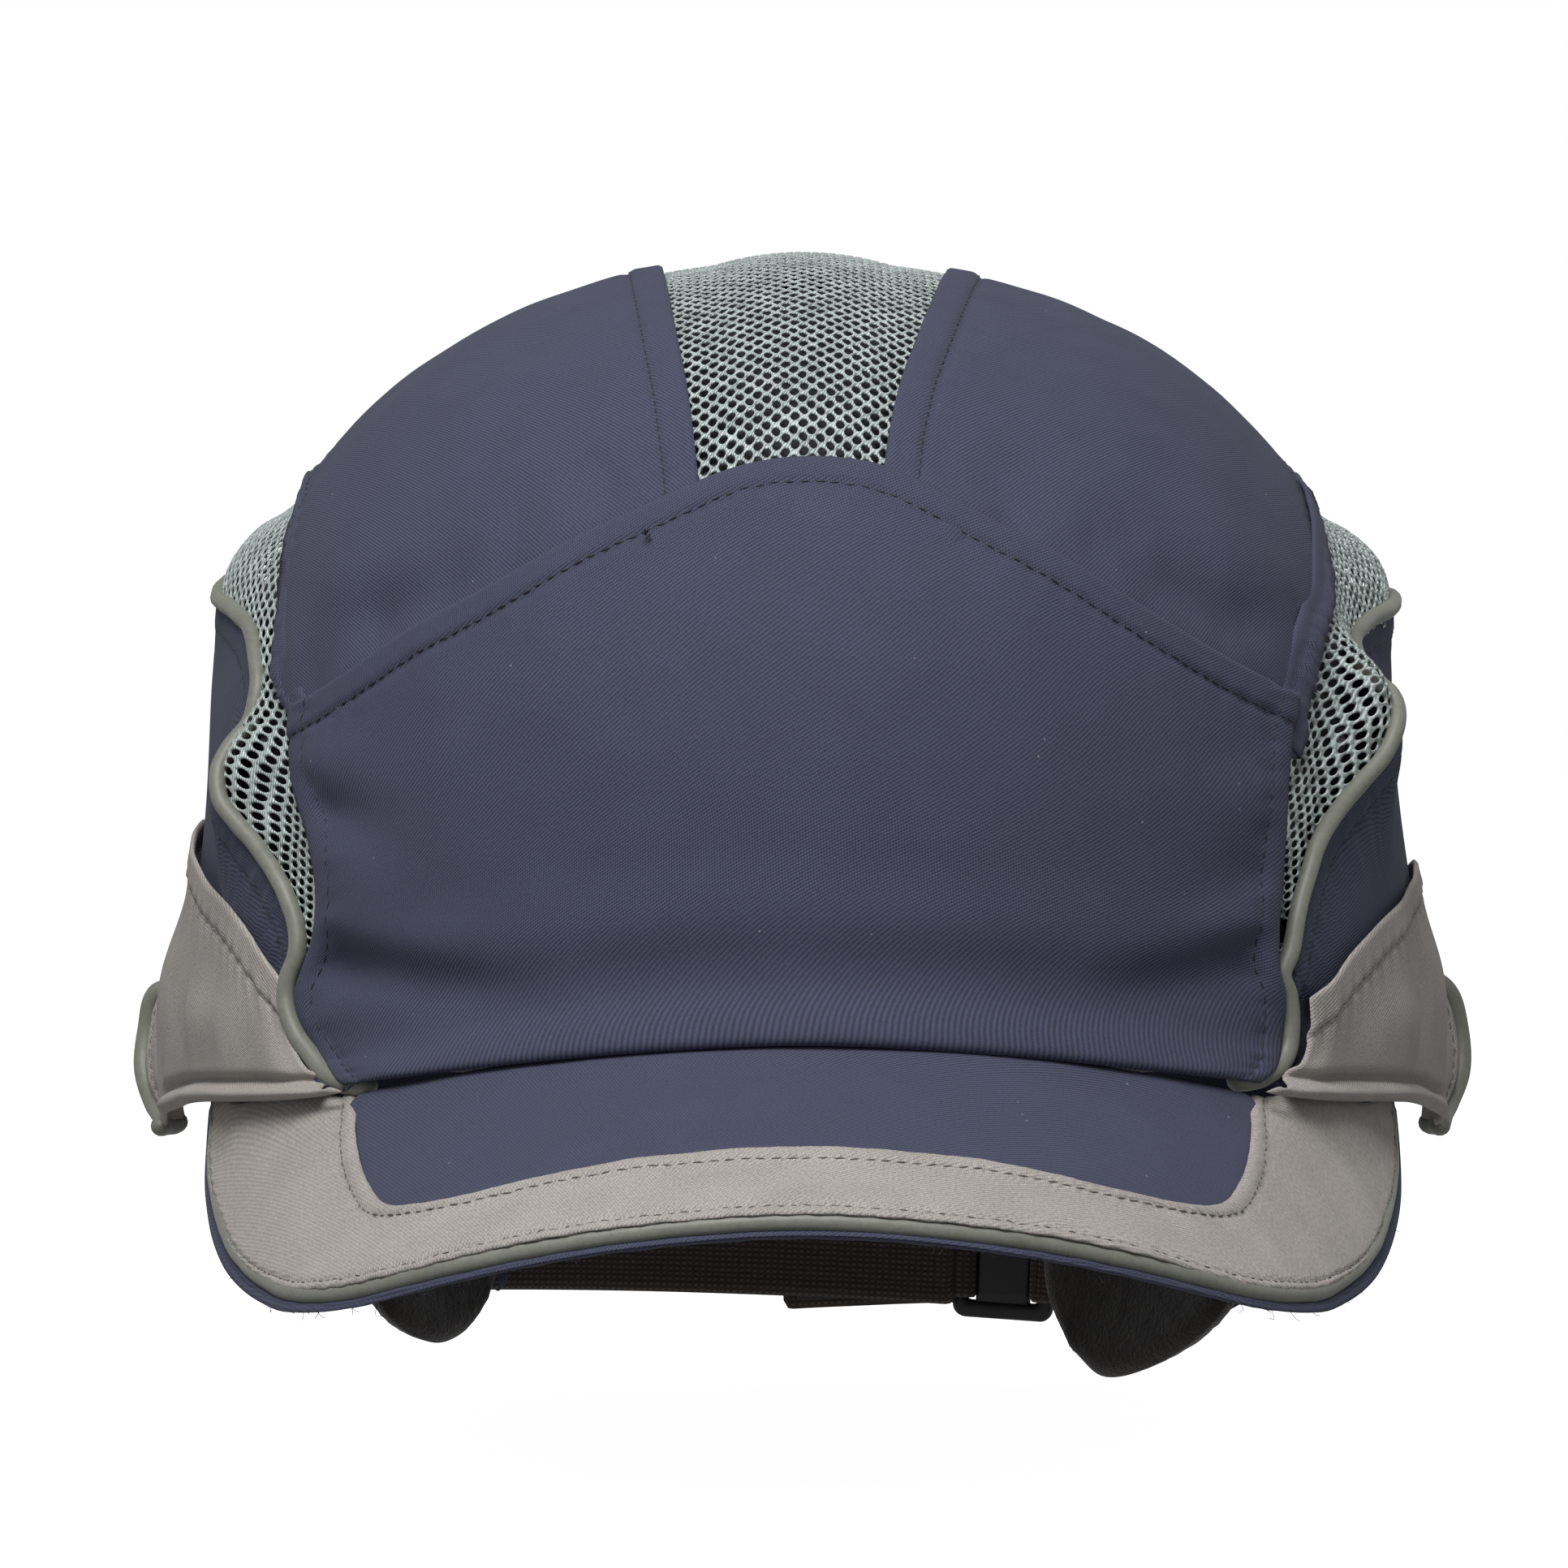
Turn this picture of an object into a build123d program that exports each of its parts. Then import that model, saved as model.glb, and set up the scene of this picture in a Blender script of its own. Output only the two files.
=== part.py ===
from build123d import *
import os
from math import cos, pi, radians, sin, sqrt

# Bump cap: a fabric cap with a vented shell inside, a short peak, mesh windows
# and an adjuster strap at the back.
# Frame (mm): +X to the wearer's left, -Y forward along the peak, +Z up.
# Origin: centre of the head opening, level with the middle of the peak's seam.

# ---- crown: a dome on an elliptical plan, straight-walled below the origin ----
CROWN_HALF_WIDTH = 92
CROWN_HALF_LENGTH = 112
CROWN_HEIGHT = 114
CROWN_ROUNDNESS = 3.2
CROWN_DEPTH_BELOW = 70
REACH = 160

# Layers, as (inner, outer) distances outside the shell's outer face.
PAD_LAYER = (-8, -2.6)
LABEL_LAYER = (-3.2, -2.6)
SWEATBAND_LAYER = (-4.8, -2.6)
FOAM_STRIP_LAYER = (-2.3, -0.3)
SHELL_LAYER = (-2.0, 0)
MESH_LAYER = (0.4, 1.0)
CROWN_PANEL_LAYER = (1.3, 1.9)
LAPPED_PANEL_LAYER = (2.1, 2.8)
PEAK_START = 3.1

# ---- crown panels, seen from the front ----
STRIP_HALF_WIDTH = 20
PANEL_HALF_WIDTH = 77
FRONT_APEX_Z = 84.5
FRONT_CORNER = (76, 47)
FRONT_FOOT_X = 67
SEAM_DROP = 7.7
SEAM_Z = -2
REAR_APEX_Z = 88
REAR_CORNER = (66, 52)
LAP = 11

# ---- side band: egg-shaped sections (z, half width, centre y, front y, rear y) ----
BAND_SECTIONS = (
    (66, 90, 0, -114, 105.5),
    (50, 91.5, 2, -120, 111.8),
    (25, 93.5, 8, -124, 115.2),
    (5, 97, 18, -126, 115.7),
    (-10, 99.5, 26, -126, 115.2),
    (-24, 99, 30, -126, 114.2),
    (-45, 88, 32, -124, 113),
    (-69, 75, 30, -120, 111),
)
BAND_PANEL_LAYER = (0, 0.9)
GREY_PANEL_LAYER = (1.2, 2.0)
SIDE_PIPING_LAYER = (-0.6, 2.3)
TAB_PIPING_LAYER = (1.1, 4.0)
REAR_PAD_LAYER = (-9, -4.2)
PIPING_WIDTH = 3

# Outlines of the side band, seen from the side as (y, z).
PIPING_LINE = (
    (-84, -11), (-74, -4), (-69.5, 5), (-69, 15), (-62, 26), (-49, 33), (-42, 42),
    (-34, 51), (-14, 59), (20, 62), (52, 60), (76, 52), (94, 38), (112, 24),
)
HEM_LINES = {
    "left": ((112, -60), (95, -62), (82, -58), (70, -51), (60, -41), (52, -31), (44, -24), (0, -20), (-84, -30)),
    "right": ((112, -50), (100, -53), (88, -56), (76, -54), (62, -45), (52, -31), (44, -24), (0, -20), (-84, -30)),
}
GREY_TOP_LINE = (
    (-80, -9), (-66, 0), (-58, 8), (-48, 12), (-28, 16), (-4, 20), (16, 25), (32, 25), (44, 14), (48, 2),
)
GREY_REAR_LINE = ((48, 2), (54, -10), (44, -23))

# ---- rear opening ----
ARCH_HALF_WIDTH = 50
ARCH_SPRING_Z = -25
ARCH_FEET_Z = {"left": -60, "right": -53}
BINDING_WIDTH = 2.6
BAND_END_X = 28
REAR_PAD_OUTLINES = {
    "left": ((43.5, -22), (43.5, -54), (49, -64), (54, -67.5), (62, -65.5), (73, -57), (80.5, -44), (82, -22)),
    "right": ((50, -22), (52, -44), (57, -55), (60, -60), (65, -61.5), (72, -57.5), (80, -44), (82, -22)),
}
REAR_PAD_START_Y = 50

# ---- peak: a tilted cylinder, cut to its outline in plan ----
PEAK_RADIUS = 106
PEAK_SLOPE = 0.433
PEAK_ROOT_Y = -114
PEAK_ROOT_Z = -2
PEAK_OUTLINE = (
    (92, -16), (91.8, -38), (87.5, -84), (80, -114), (68, -140), (48, -155.5), (24, -163.5), (0, -166),
)
BORDER_OUTLINE = ((67, -70), (66, -97), (62, -115), (52, -133), (34, -141.5), (0, -144.5))
PEAK_EDGE_WIDTH = 2.4
BOARD_INSET = 4
CENTRE_UNDERLAP = 6

# ---- protective shell and what lines it ----
SHELL_RIM_Z = 6
VENT = (22, 6)
TOP_VENTS = (26, 30, 3, 3)
SIDE_VENTS = (30, 1, 4, 1)
SIDE_VENT_Z = 50
# Comfort pads: (label, plane, direction, half width, low edge, high edge).
UPRIGHT_PADS = (
    ("comfort_pad_front", Plane.XZ, 1, 44, 32, 62),
    ("comfort_pad_rear", Plane.XZ, -1, 38, 36, 62),
    ("comfort_pad_left", Plane.YZ, 1, 36, 32, 62),
    ("comfort_pad_right", Plane.YZ, -1, 36, 32, 62),
)
PAD_CORNER = 10
CROWN_PAD_ARMS = ((26, 110), (84, 26))
SWEATBAND_Z = (-8, 26)
SWEATBAND_END_Y = 52
FOAM_STRIP_Z = (-7, 5)
CARE_LABEL = (24, 30)
CARE_LABEL_AT = (-58, 12)

# ---- adjuster strap, on a circle about an upright axis, tipped down to the right ----
STRAP_CENTRE_Y = 27.6
STRAP_MID_Z = -42.5
STRAP_TILT = 2.5
RUN_RADII = (83.7, 85.1)
LOOP_PATCH_RADII = (85.2, 86.0)
HOOK_PATCH_RADII = (86.3, 87.0)
TAIL_RADII = (87.1, 88.2)
LAP_RADII = (88.5, 89.9)
BAR_RADIUS = 86.8
TURN_RADII = (1.7, 3.1)
FOLD_BAR_ANGLE = 17.9
TAB_BAR_ANGLE = 28.3
STRAP_WIDTH = 25
TAIL_WIDTH = 30
TAB_WIDTH = 23
RING_BAR = 2.6
RING_THICKNESS = 1.8
RING_HEIGHT = 31
SLOT_REACH = 3.7
RUN_START = -42
LOOP_PATCH_SPAN = (-26, 11)
TAIL_SPAN = (-1.6, 16.4)
HOOK_PATCH_SPAN = (-0.6, 13)
LAP_END = 4
TAB_END = 42
TAB_OUTER_END = 31.3
BARTACK_LENGTH = 20
STRAP_GAP = 0.15


def save(builder, label):
    """Label a finished piece and write it as one STEP file."""
    builder.part.label = label
    export_step(builder.part, f"parts/{label}.step")


def crown_profile():
    """Half profile of the crown at unit plan radius, from its rim to its top."""
    steps = 10
    angles = [pi / 2 * i / steps for i in range(steps + 1)]
    return [(cos(a), CROWN_HEIGHT * sin(a) ** (2 / CROWN_ROUNDNESS)) for a in angles]


def crown(grow):
    """Solid crown, its surface a distance grow outside the shell's outer face."""
    half_width = CROWN_HALF_WIDTH + grow
    points = [(half_width * x, z * (1 + grow / CROWN_HEIGHT)) for x, z in crown_profile()]
    with BuildPart() as solid:
        with BuildSketch(Plane.XZ):
            with BuildLine():
                Spline(points, tangents=((0, 1), (-1, 0)))
                Polyline(
                    points[-1], (0, -CROWN_DEPTH_BELOW), (half_width, -CROWN_DEPTH_BELOW), points[0]
                )
            make_face()
        revolve(axis=Axis.Z)
        scale(by=(1, (CROWN_HALF_LENGTH + grow) / half_width, 1))
    return solid.part


def band(grow):
    """Solid side band, its surface a distance grow outside the lining."""
    with BuildPart() as solid:
        for z, half_width, centre, front, rear in BAND_SECTIONS:
            x_radius = half_width + grow
            front_radius = centre - front + grow
            rear_radius = rear - centre + grow
            with BuildSketch(Plane.XY.offset(z)):
                with BuildLine():
                    EllipticalCenterArc((0, centre), x_radius, rear_radius, 0, arc_size=180)
                    EllipticalCenterArc((0, centre), x_radius, front_radius, 180, arc_size=180)
                make_face()
        loft()
    return solid.part


def layer(shape, limits):
    """Skin between two distances from a crown or band surface."""
    inner, outer = limits
    with BuildPart() as skin:
        add(shape(outer))
        add(shape(inner), mode=Mode.SUBTRACT)
    return skin.part


def peak_layer(top, bottom, outline):
    """Part of the peak between two depths below its top face, inside a plan outline."""
    start_y = -10
    crest = PEAK_ROOT_Z + PEAK_SLOPE * (start_y - PEAK_ROOT_Y)
    run = REACH * sqrt(1 + PEAK_SLOPE**2)
    with BuildPart() as solid:
        with BuildSketch(Plane.XZ.offset(-start_y)):
            with Locations((0, crest - PEAK_RADIUS)):
                Circle(PEAK_RADIUS - top)
                Circle(PEAK_RADIUS - bottom, mode=Mode.SUBTRACT)
                Rectangle(
                    2 * PEAK_RADIUS, PEAK_RADIUS, align=(Align.CENTER, Align.MIN), mode=Mode.INTERSECT
                )
        extrude(amount=run, dir=(0, -1, -PEAK_SLOPE))
        with BuildSketch():
            with BuildLine():
                edge = Spline(outline)
                mirror(edge, about=Plane.YZ)
                Line(outline[0], (-outline[0][0], outline[0][1]))
            make_face()
        extrude(amount=REACH, both=True, mode=Mode.INTERSECT)
        add(crown(PEAK_START), mode=Mode.SUBTRACT)
    return solid.part


def inset(outline, distance):
    """A peak outline drawn in by a distance, towards the middle of the seam."""
    reach = -PEAK_OUTLINE[-1][1]
    return tuple((x * (1 - distance / CROWN_HALF_WIDTH), y * (1 - distance / reach)) for x, y in outline)


os.makedirs("parts", exist_ok=True)

mesh_skin = layer(crown, MESH_LAYER)
crown_panel_skin = layer(crown, CROWN_PANEL_LAYER)
lapped_panel_skin = layer(crown, LAPPED_PANEL_LAYER)
shell_skin = layer(crown, SHELL_LAYER)
pad_skin = layer(crown, PAD_LAYER)
sweatband_skin = layer(crown, SWEATBAND_LAYER)
band_panel_skin = layer(band, BAND_PANEL_LAYER)
grey_panel_skin = layer(band, GREY_PANEL_LAYER)

lap_slope = (FRONT_APEX_Z - FRONT_CORNER[1]) / FRONT_CORNER[0]

# ---- fabric crown ----
with BuildPart() as front_panel:
    add(lapped_panel_skin)
    with BuildSketch(Plane.XZ):
        with BuildLine():
            foot = (FRONT_FOOT_X, SEAM_Z - SEAM_DROP)
            hip = (FRONT_CORNER[0] - 2, FRONT_CORNER[1] / 2)
            brow = (14, FRONT_APEX_Z - 3)
            ThreePointArc((-brow[0], brow[1]), (0, FRONT_APEX_Z), brow)
            ThreePointArc((-foot[0], foot[1]), (0, SEAM_Z), foot)
            for side in (1, -1):
                Polyline(*[(side * x, z) for x, z in (brow, FRONT_CORNER, hip, foot)])
        make_face()
    extrude(amount=REACH, mode=Mode.INTERSECT)
save(front_panel, "front_panel")

with BuildPart() as rear_panel:
    add(lapped_panel_skin)
    with BuildSketch(Plane.XZ):
        with BuildLine():
            brow = (12, REAR_APEX_Z - 3)
            foot = (REAR_CORNER[0], 0)
            ThreePointArc((-brow[0], brow[1]), (0, REAR_APEX_Z), brow)
            Line((-foot[0], foot[1]), foot)
            for side in (1, -1):
                Polyline(*[(side * x, z) for x, z in (brow, REAR_CORNER, foot)])
        make_face()
        with Locations((0, ARCH_SPRING_Z)):
            Circle(ARCH_HALF_WIDTH + BINDING_WIDTH / 2 + 0.2, mode=Mode.SUBTRACT)
    extrude(amount=-REACH, mode=Mode.INTERSECT)
save(rear_panel, "rear_panel")

for name, side in (("left", 1), ("right", -1)):
    with BuildPart() as crown_panel:
        add(crown_panel_skin)
        with BuildSketch(Plane.XZ):
            with BuildLine():
                low = FRONT_APEX_Z - LAP
                Polyline(
                    (side * STRIP_HALF_WIDTH, low - lap_slope * STRIP_HALF_WIDTH),
                    (side * PANEL_HALF_WIDTH, low - lap_slope * PANEL_HALF_WIDTH),
                    (side * PANEL_HALF_WIDTH, REACH),
                    (side * STRIP_HALF_WIDTH, REACH),
                    close=True,
                )
            make_face()
        extrude(amount=REACH, both=True, mode=Mode.INTERSECT)
    save(crown_panel, f"crown_panel_{name}")

with BuildPart() as crown_mesh:
    add(mesh_skin)
    with BuildSketch(Plane.XZ):
        with Locations((0, FRONT_APEX_Z - LAP - 4)):
            Rectangle(2 * STRIP_HALF_WIDTH + LAP, REACH, align=(Align.CENTER, Align.MIN))
    extrude(amount=REACH, both=True, mode=Mode.INTERSECT)
save(crown_mesh, "crown_mesh")

# ---- adjuster strap and ring ----
tilt = radians(STRAP_TILT)
strap_plane = Plane(
    origin=(0, STRAP_CENTRE_Y, STRAP_MID_Z), x_dir=(cos(tilt), 0, -sin(tilt)), z_dir=(sin(tilt), 0, cos(tilt))
)


def sector(radii, start, end, width):
    """Curved strip on the strap's circle, its angles measured from straight back."""
    with BuildPart() as strip:
        with BuildSketch(strap_plane):
            with BuildLine():
                inner = CenterArc((0, 0), radii[0], 90 - end, end - start)
                outer = CenterArc((0, 0), radii[1], 90 - end, end - start)
                Line(inner @ 0, outer @ 0)
                Line(inner @ 1, outer @ 1)
            make_face()
        extrude(amount=width / 2, both=True)
    return strip.part


def bar_turn(angle, side, width):
    """Webbing bent half round a ring bar, on the side that points along the strap."""
    turn_plane = strap_plane.rotated((0, 0, -angle))
    with BuildPart() as turn:
        with BuildSketch(turn_plane):
            with BuildLine():
                inner = CenterArc((0, BAR_RADIUS), TURN_RADII[0], -90, side * 180)
                outer = CenterArc((0, BAR_RADIUS), TURN_RADII[1], -90, side * 180)
                Line(inner @ 0, outer @ 0)
                Line(inner @ 1, outer @ 1)
            make_face()
        extrude(amount=width / 2, both=True)
    return turn.part


with BuildPart() as strap_run:
    add(sector(RUN_RADII, RUN_START, FOLD_BAR_ANGLE, STRAP_WIDTH))
save(strap_run, "strap_run")

with BuildPart() as loop_patch:
    add(sector(LOOP_PATCH_RADII, *LOOP_PATCH_SPAN, STRAP_WIDTH - 1))
save(loop_patch, "loop_patch")

with BuildPart() as strap_turn:
    add(bar_turn(FOLD_BAR_ANGLE + 0.2, 1, STRAP_WIDTH))
save(strap_turn, "strap_turn")

with BuildPart() as strap_lap:
    add(sector(LAP_RADII, LAP_END, FOLD_BAR_ANGLE, STRAP_WIDTH))
save(strap_lap, "strap_lap")

with BuildPart() as strap_tail:
    add(sector(TAIL_RADII, *TAIL_SPAN, TAIL_WIDTH))
save(strap_tail, "strap_tail")

with BuildPart() as hook_patch:
    add(sector(HOOK_PATCH_RADII, *HOOK_PATCH_SPAN, TAIL_WIDTH - 3))
save(hook_patch, "hook_patch")

with BuildPart() as ring_tab:
    inner_leg = (BAR_RADIUS - TURN_RADII[1], BAR_RADIUS - TURN_RADII[0])
    outer_leg = (BAR_RADIUS + TURN_RADII[0], BAR_RADIUS + TURN_RADII[1])
    add(bar_turn(TAB_BAR_ANGLE, -1, TAB_WIDTH))
    add(sector(inner_leg, TAB_BAR_ANGLE, TAB_END, TAB_WIDTH))
    add(sector(outer_leg, TAB_BAR_ANGLE, TAB_OUTER_END, TAB_WIDTH))
save(ring_tab, "ring_tab")

# The ring lies in the plane of its two bars, its web between their slots.
half_span = radians(TAB_BAR_ANGLE - FOLD_BAR_ANGLE) / 2
bar_spacing = 2 * BAR_RADIUS * sin(half_span)
ring_distance = BAR_RADIUS * cos(half_span)
turned = strap_plane.rotated((0, 0, -(TAB_BAR_ANGLE + FOLD_BAR_ANGLE) / 2))
ring_plane = Plane(
    origin=turned.origin + turned.y_dir * ring_distance, x_dir=turned.x_dir, z_dir=-turned.y_dir
)
with BuildPart() as buckle_ring:
    with BuildSketch(ring_plane):
        RectangleRounded(bar_spacing + RING_BAR, RING_HEIGHT, 2)
        RectangleRounded(bar_spacing - RING_BAR, RING_HEIGHT - 2 * RING_BAR, 0.8, mode=Mode.SUBTRACT)
        Rectangle(bar_spacing - 2 * SLOT_REACH, RING_HEIGHT - RING_BAR)
    extrude(amount=RING_THICKNESS / 2, both=True)
save(buckle_ring, "buckle_ring")

with BuildPart() as bartacks:
    add(sector((BAR_RADIUS + TURN_RADII[1] + 0.1, BAR_RADIUS + TURN_RADII[1] + 0.6), 29.6, 30.8, BARTACK_LENGTH))
    add(sector((RUN_RADII[1] + 0.1, RUN_RADII[1] + 0.6), -31, -29.8, BARTACK_LENGTH))
save(bartacks, "bartacks")

# Room for the strap's and the tab's sewn ends in the pieces they pass through.
with BuildPart() as strap_room:
    add(sector((RUN_RADII[0] - STRAP_GAP, RUN_RADII[1] + STRAP_GAP), RUN_START - 1, 0, STRAP_WIDTH + 1))
    add(sector((inner_leg[0] - STRAP_GAP, inner_leg[1] + STRAP_GAP), 20, TAB_END + 1, TAB_WIDTH + 1))
    add(sector((outer_leg[0] - STRAP_GAP, outer_leg[1] + STRAP_GAP), 20, TAB_OUTER_END + 1, TAB_WIDTH + 1))

# ---- side band: mesh windows, panels and piping on each side ----
for name, side in (("left", 1), ("right", -1)):
    with BuildPart() as side_piping:
        add(layer(band, SIDE_PIPING_LAYER))
        with BuildSketch(Plane.YZ):
            with BuildLine():
                Spline(PIPING_LINE)
            trace(line_width=PIPING_WIDTH)
        extrude(amount=side * REACH, mode=Mode.INTERSECT)
        with BuildSketch(Plane.XZ):
            with Locations((side * BAND_END_X, 0)):
                Rectangle(REACH, 2 * REACH, align=(Align.MIN if side > 0 else Align.MAX, Align.CENTER))
        extrude(amount=REACH, both=True, mode=Mode.INTERSECT)
    save(side_piping, f"side_piping_{name}")

    with BuildPart() as side_mesh:
        add(mesh_skin)
        with BuildSketch(Plane.YZ):
            with BuildLine():
                top = Spline([(y, z - 7) for y, z in PIPING_LINE[1:-2]])
                Polyline(top @ 0, (PIPING_LINE[1][0], REACH), (PIPING_LINE[-3][0], REACH), top @ 1)
            make_face()
        extrude(amount=side * REACH, mode=Mode.INTERSECT)
        with BuildSketch(Plane.XZ):
            with Locations((side * (PANEL_HALF_WIDTH - 8), 0)):
                Rectangle(REACH, 2 * REACH, align=(Align.MIN if side > 0 else Align.MAX, Align.CENTER))
        extrude(amount=REACH, both=True, mode=Mode.INTERSECT)
    save(side_mesh, f"side_mesh_{name}")

    with BuildPart() as lower_side_panel:
        add(band_panel_skin)
        with BuildSketch(Plane.YZ):
            with BuildLine():
                top = Spline(PIPING_LINE)
                Polyline(top @ 1, *HEM_LINES[name], top @ 0)
            make_face()
        extrude(amount=side * REACH, mode=Mode.INTERSECT)
        with BuildSketch(Plane.XZ):
            with Locations((0, ARCH_SPRING_Z)):
                Circle(ARCH_HALF_WIDTH + BINDING_WIDTH / 2 + 0.2)
            with Locations((0, ARCH_SPRING_Z)):
                Rectangle(
                    2 * ARCH_HALF_WIDTH + BINDING_WIDTH + 0.4, REACH, align=(Align.CENTER, Align.MAX)
                )
            Rectangle(2 * BAND_END_X, REACH)
        extrude(amount=-REACH, mode=Mode.SUBTRACT)
        add(side_piping.part, mode=Mode.SUBTRACT)
        add(peak_layer(-0.3, PEAK_RADIUS - 1, PEAK_OUTLINE), mode=Mode.SUBTRACT)
        add(strap_room.part, mode=Mode.SUBTRACT)
    save(lower_side_panel, f"lower_side_panel_{name}")

    with BuildPart() as tab_piping:
        add(layer(band, TAB_PIPING_LAYER))
        with BuildSketch(Plane.YZ):
            with BuildLine():
                ThreePointArc(*GREY_REAR_LINE)
            trace(line_width=PIPING_WIDTH)
        extrude(amount=side * REACH, mode=Mode.INTERSECT)
    save(tab_piping, f"tab_piping_{name}")

    with BuildPart() as grey_side_panel:
        add(grey_panel_skin)
        with BuildSketch(Plane.YZ):
            with BuildLine():
                Spline(GREY_TOP_LINE)
                ThreePointArc(*GREY_REAR_LINE)
                Polyline(GREY_REAR_LINE[-1], (0, -20), (-80, -30), GREY_TOP_LINE[0])
            make_face()
        extrude(amount=side * REACH, mode=Mode.INTERSECT)
        add(tab_piping.part, mode=Mode.SUBTRACT)
        add(side_piping.part, mode=Mode.SUBTRACT)
        add(peak_layer(-0.3, PEAK_RADIUS - 1, PEAK_OUTLINE), mode=Mode.SUBTRACT)
    save(grey_side_panel, f"grey_side_panel_{name}")

with BuildPart() as rear_opening_binding:
    add(band(1.6))
    add(crown(1.2), mode=Mode.SUBTRACT)
    with BuildSketch(Plane.XZ):
        with BuildLine():
            Line((-ARCH_HALF_WIDTH, ARCH_FEET_Z["right"]), (-ARCH_HALF_WIDTH, ARCH_SPRING_Z))
            CenterArc((0, ARCH_SPRING_Z), ARCH_HALF_WIDTH, 0, 180)
            Line((ARCH_HALF_WIDTH, ARCH_SPRING_Z), (ARCH_HALF_WIDTH, ARCH_FEET_Z["left"]))
        trace(line_width=BINDING_WIDTH)
    extrude(amount=-REACH, mode=Mode.INTERSECT)
    add(strap_room.part, mode=Mode.SUBTRACT)
save(rear_opening_binding, "rear_opening_binding")

# ---- padded rear ends ----
for name, side in (("left", 1), ("right", -1)):
    with BuildPart() as rear_pad:
        add(layer(band, REAR_PAD_LAYER))
        with BuildSketch(Plane.XZ):
            with BuildLine():
                Polyline(*[(side * x, z) for x, z in REAR_PAD_OUTLINES[name]], close=True)
            make_face()
        extrude(amount=-REACH, mode=Mode.INTERSECT)
        with Locations((0, REAR_PAD_START_Y, 0)):
            Box(
                2 * REACH, REACH, 2 * REACH,
                align=(Align.CENTER, Align.MIN, Align.CENTER), mode=Mode.INTERSECT,
            )
        add(rear_opening_binding.part, mode=Mode.SUBTRACT)
        add(strap_room.part, mode=Mode.SUBTRACT)
    save(rear_pad, f"rear_pad_{name}")

# ---- protective shell, its vents cut through from above and from the sides ----
with BuildPart() as protective_shell:
    add(shell_skin)
    with Locations((0, 0, SHELL_RIM_Z)):
        Box(
            2 * REACH, 2 * REACH, REACH,
            align=(Align.CENTER, Align.CENTER, Align.MIN), mode=Mode.INTERSECT,
        )
    with BuildSketch(Plane.XY):
        with GridLocations(*TOP_VENTS):
            SlotOverall(*VENT, rotation=90)
    extrude(amount=REACH, mode=Mode.SUBTRACT)
    with BuildSketch(Plane.YZ):
        with Locations((0, SIDE_VENT_Z)):
            with GridLocations(*SIDE_VENTS):
                SlotOverall(*VENT, rotation=90)
    extrude(amount=REACH, both=True, mode=Mode.SUBTRACT)
save(protective_shell, "protective_shell")

for label, plane, direction, half_width, low, high in UPRIGHT_PADS:
    with BuildPart() as comfort_pad:
        add(pad_skin)
        with BuildSketch(plane):
            with Locations((0, (low + high) / 2)):
                RectangleRounded(2 * half_width, high - low, PAD_CORNER)
        extrude(amount=direction * REACH, mode=Mode.INTERSECT)
    save(comfort_pad, label)

with BuildPart() as comfort_pad_crown:
    add(pad_skin)
    with BuildSketch():
        for arm in CROWN_PAD_ARMS:
            RectangleRounded(*arm, PAD_CORNER)
    extrude(amount=REACH, mode=Mode.INTERSECT)
save(comfort_pad_crown, "comfort_pad_crown")

with BuildPart() as sweatband:
    add(sweatband_skin)
    with BuildSketch(Plane.YZ):
        with Locations((SWEATBAND_END_Y, sum(SWEATBAND_Z) / 2)):
            Rectangle(REACH * 2, SWEATBAND_Z[1] - SWEATBAND_Z[0], align=(Align.MAX, Align.CENTER))
    extrude(amount=REACH, both=True, mode=Mode.INTERSECT)
save(sweatband, "sweatband")

with BuildPart() as sweatband_foam:
    add(layer(crown, FOAM_STRIP_LAYER))
    with BuildSketch(Plane.YZ):
        with Locations((SWEATBAND_END_Y - 4, sum(FOAM_STRIP_Z) / 2)):
            Rectangle(REACH * 2, FOAM_STRIP_Z[1] - FOAM_STRIP_Z[0], align=(Align.MAX, Align.CENTER))
    extrude(amount=REACH, both=True, mode=Mode.INTERSECT)
save(sweatband_foam, "sweatband_foam")

with BuildPart() as care_label:
    add(layer(crown, LABEL_LAYER))
    with BuildSketch(Plane.XZ):
        with Locations(CARE_LABEL_AT):
            Rectangle(*CARE_LABEL)
    extrude(amount=-REACH, mode=Mode.INTERSECT)
save(care_label, "care_label")

# ---- peak ----
covering_outline = inset(PEAK_OUTLINE, PEAK_EDGE_WIDTH)
board_outline = inset(PEAK_OUTLINE, BOARD_INSET)
PEAK_PLIES = (
    ("peak_board", 1.7, 3.3, board_outline),
    ("peak_lining", 3.5, 4.1, covering_outline),
    ("peak_top_centre", 0.9, 1.5, inset(BORDER_OUTLINE, -CENTRE_UNDERLAP)),
)
for label, top, bottom, outline in PEAK_PLIES:
    with BuildPart() as ply:
        add(peak_layer(top, bottom, outline))
    save(ply, label)

with BuildPart() as peak_top_border:
    add(peak_layer(0, 0.7, covering_outline))
    add(peak_layer(-1, 2, BORDER_OUTLINE), mode=Mode.SUBTRACT)
save(peak_top_border, "peak_top_border")

for label, top, bottom in (("peak_piping", 0.6, 3.2), ("peak_binding", 3.3, 4.6)):
    with BuildPart() as edge_trim:
        add(peak_layer(top, bottom, PEAK_OUTLINE))
        add(peak_layer(-2, 8, inset(PEAK_OUTLINE, PEAK_EDGE_WIDTH - 0.2)), mode=Mode.SUBTRACT)
    save(edge_trim, label)
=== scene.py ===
import math

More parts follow.
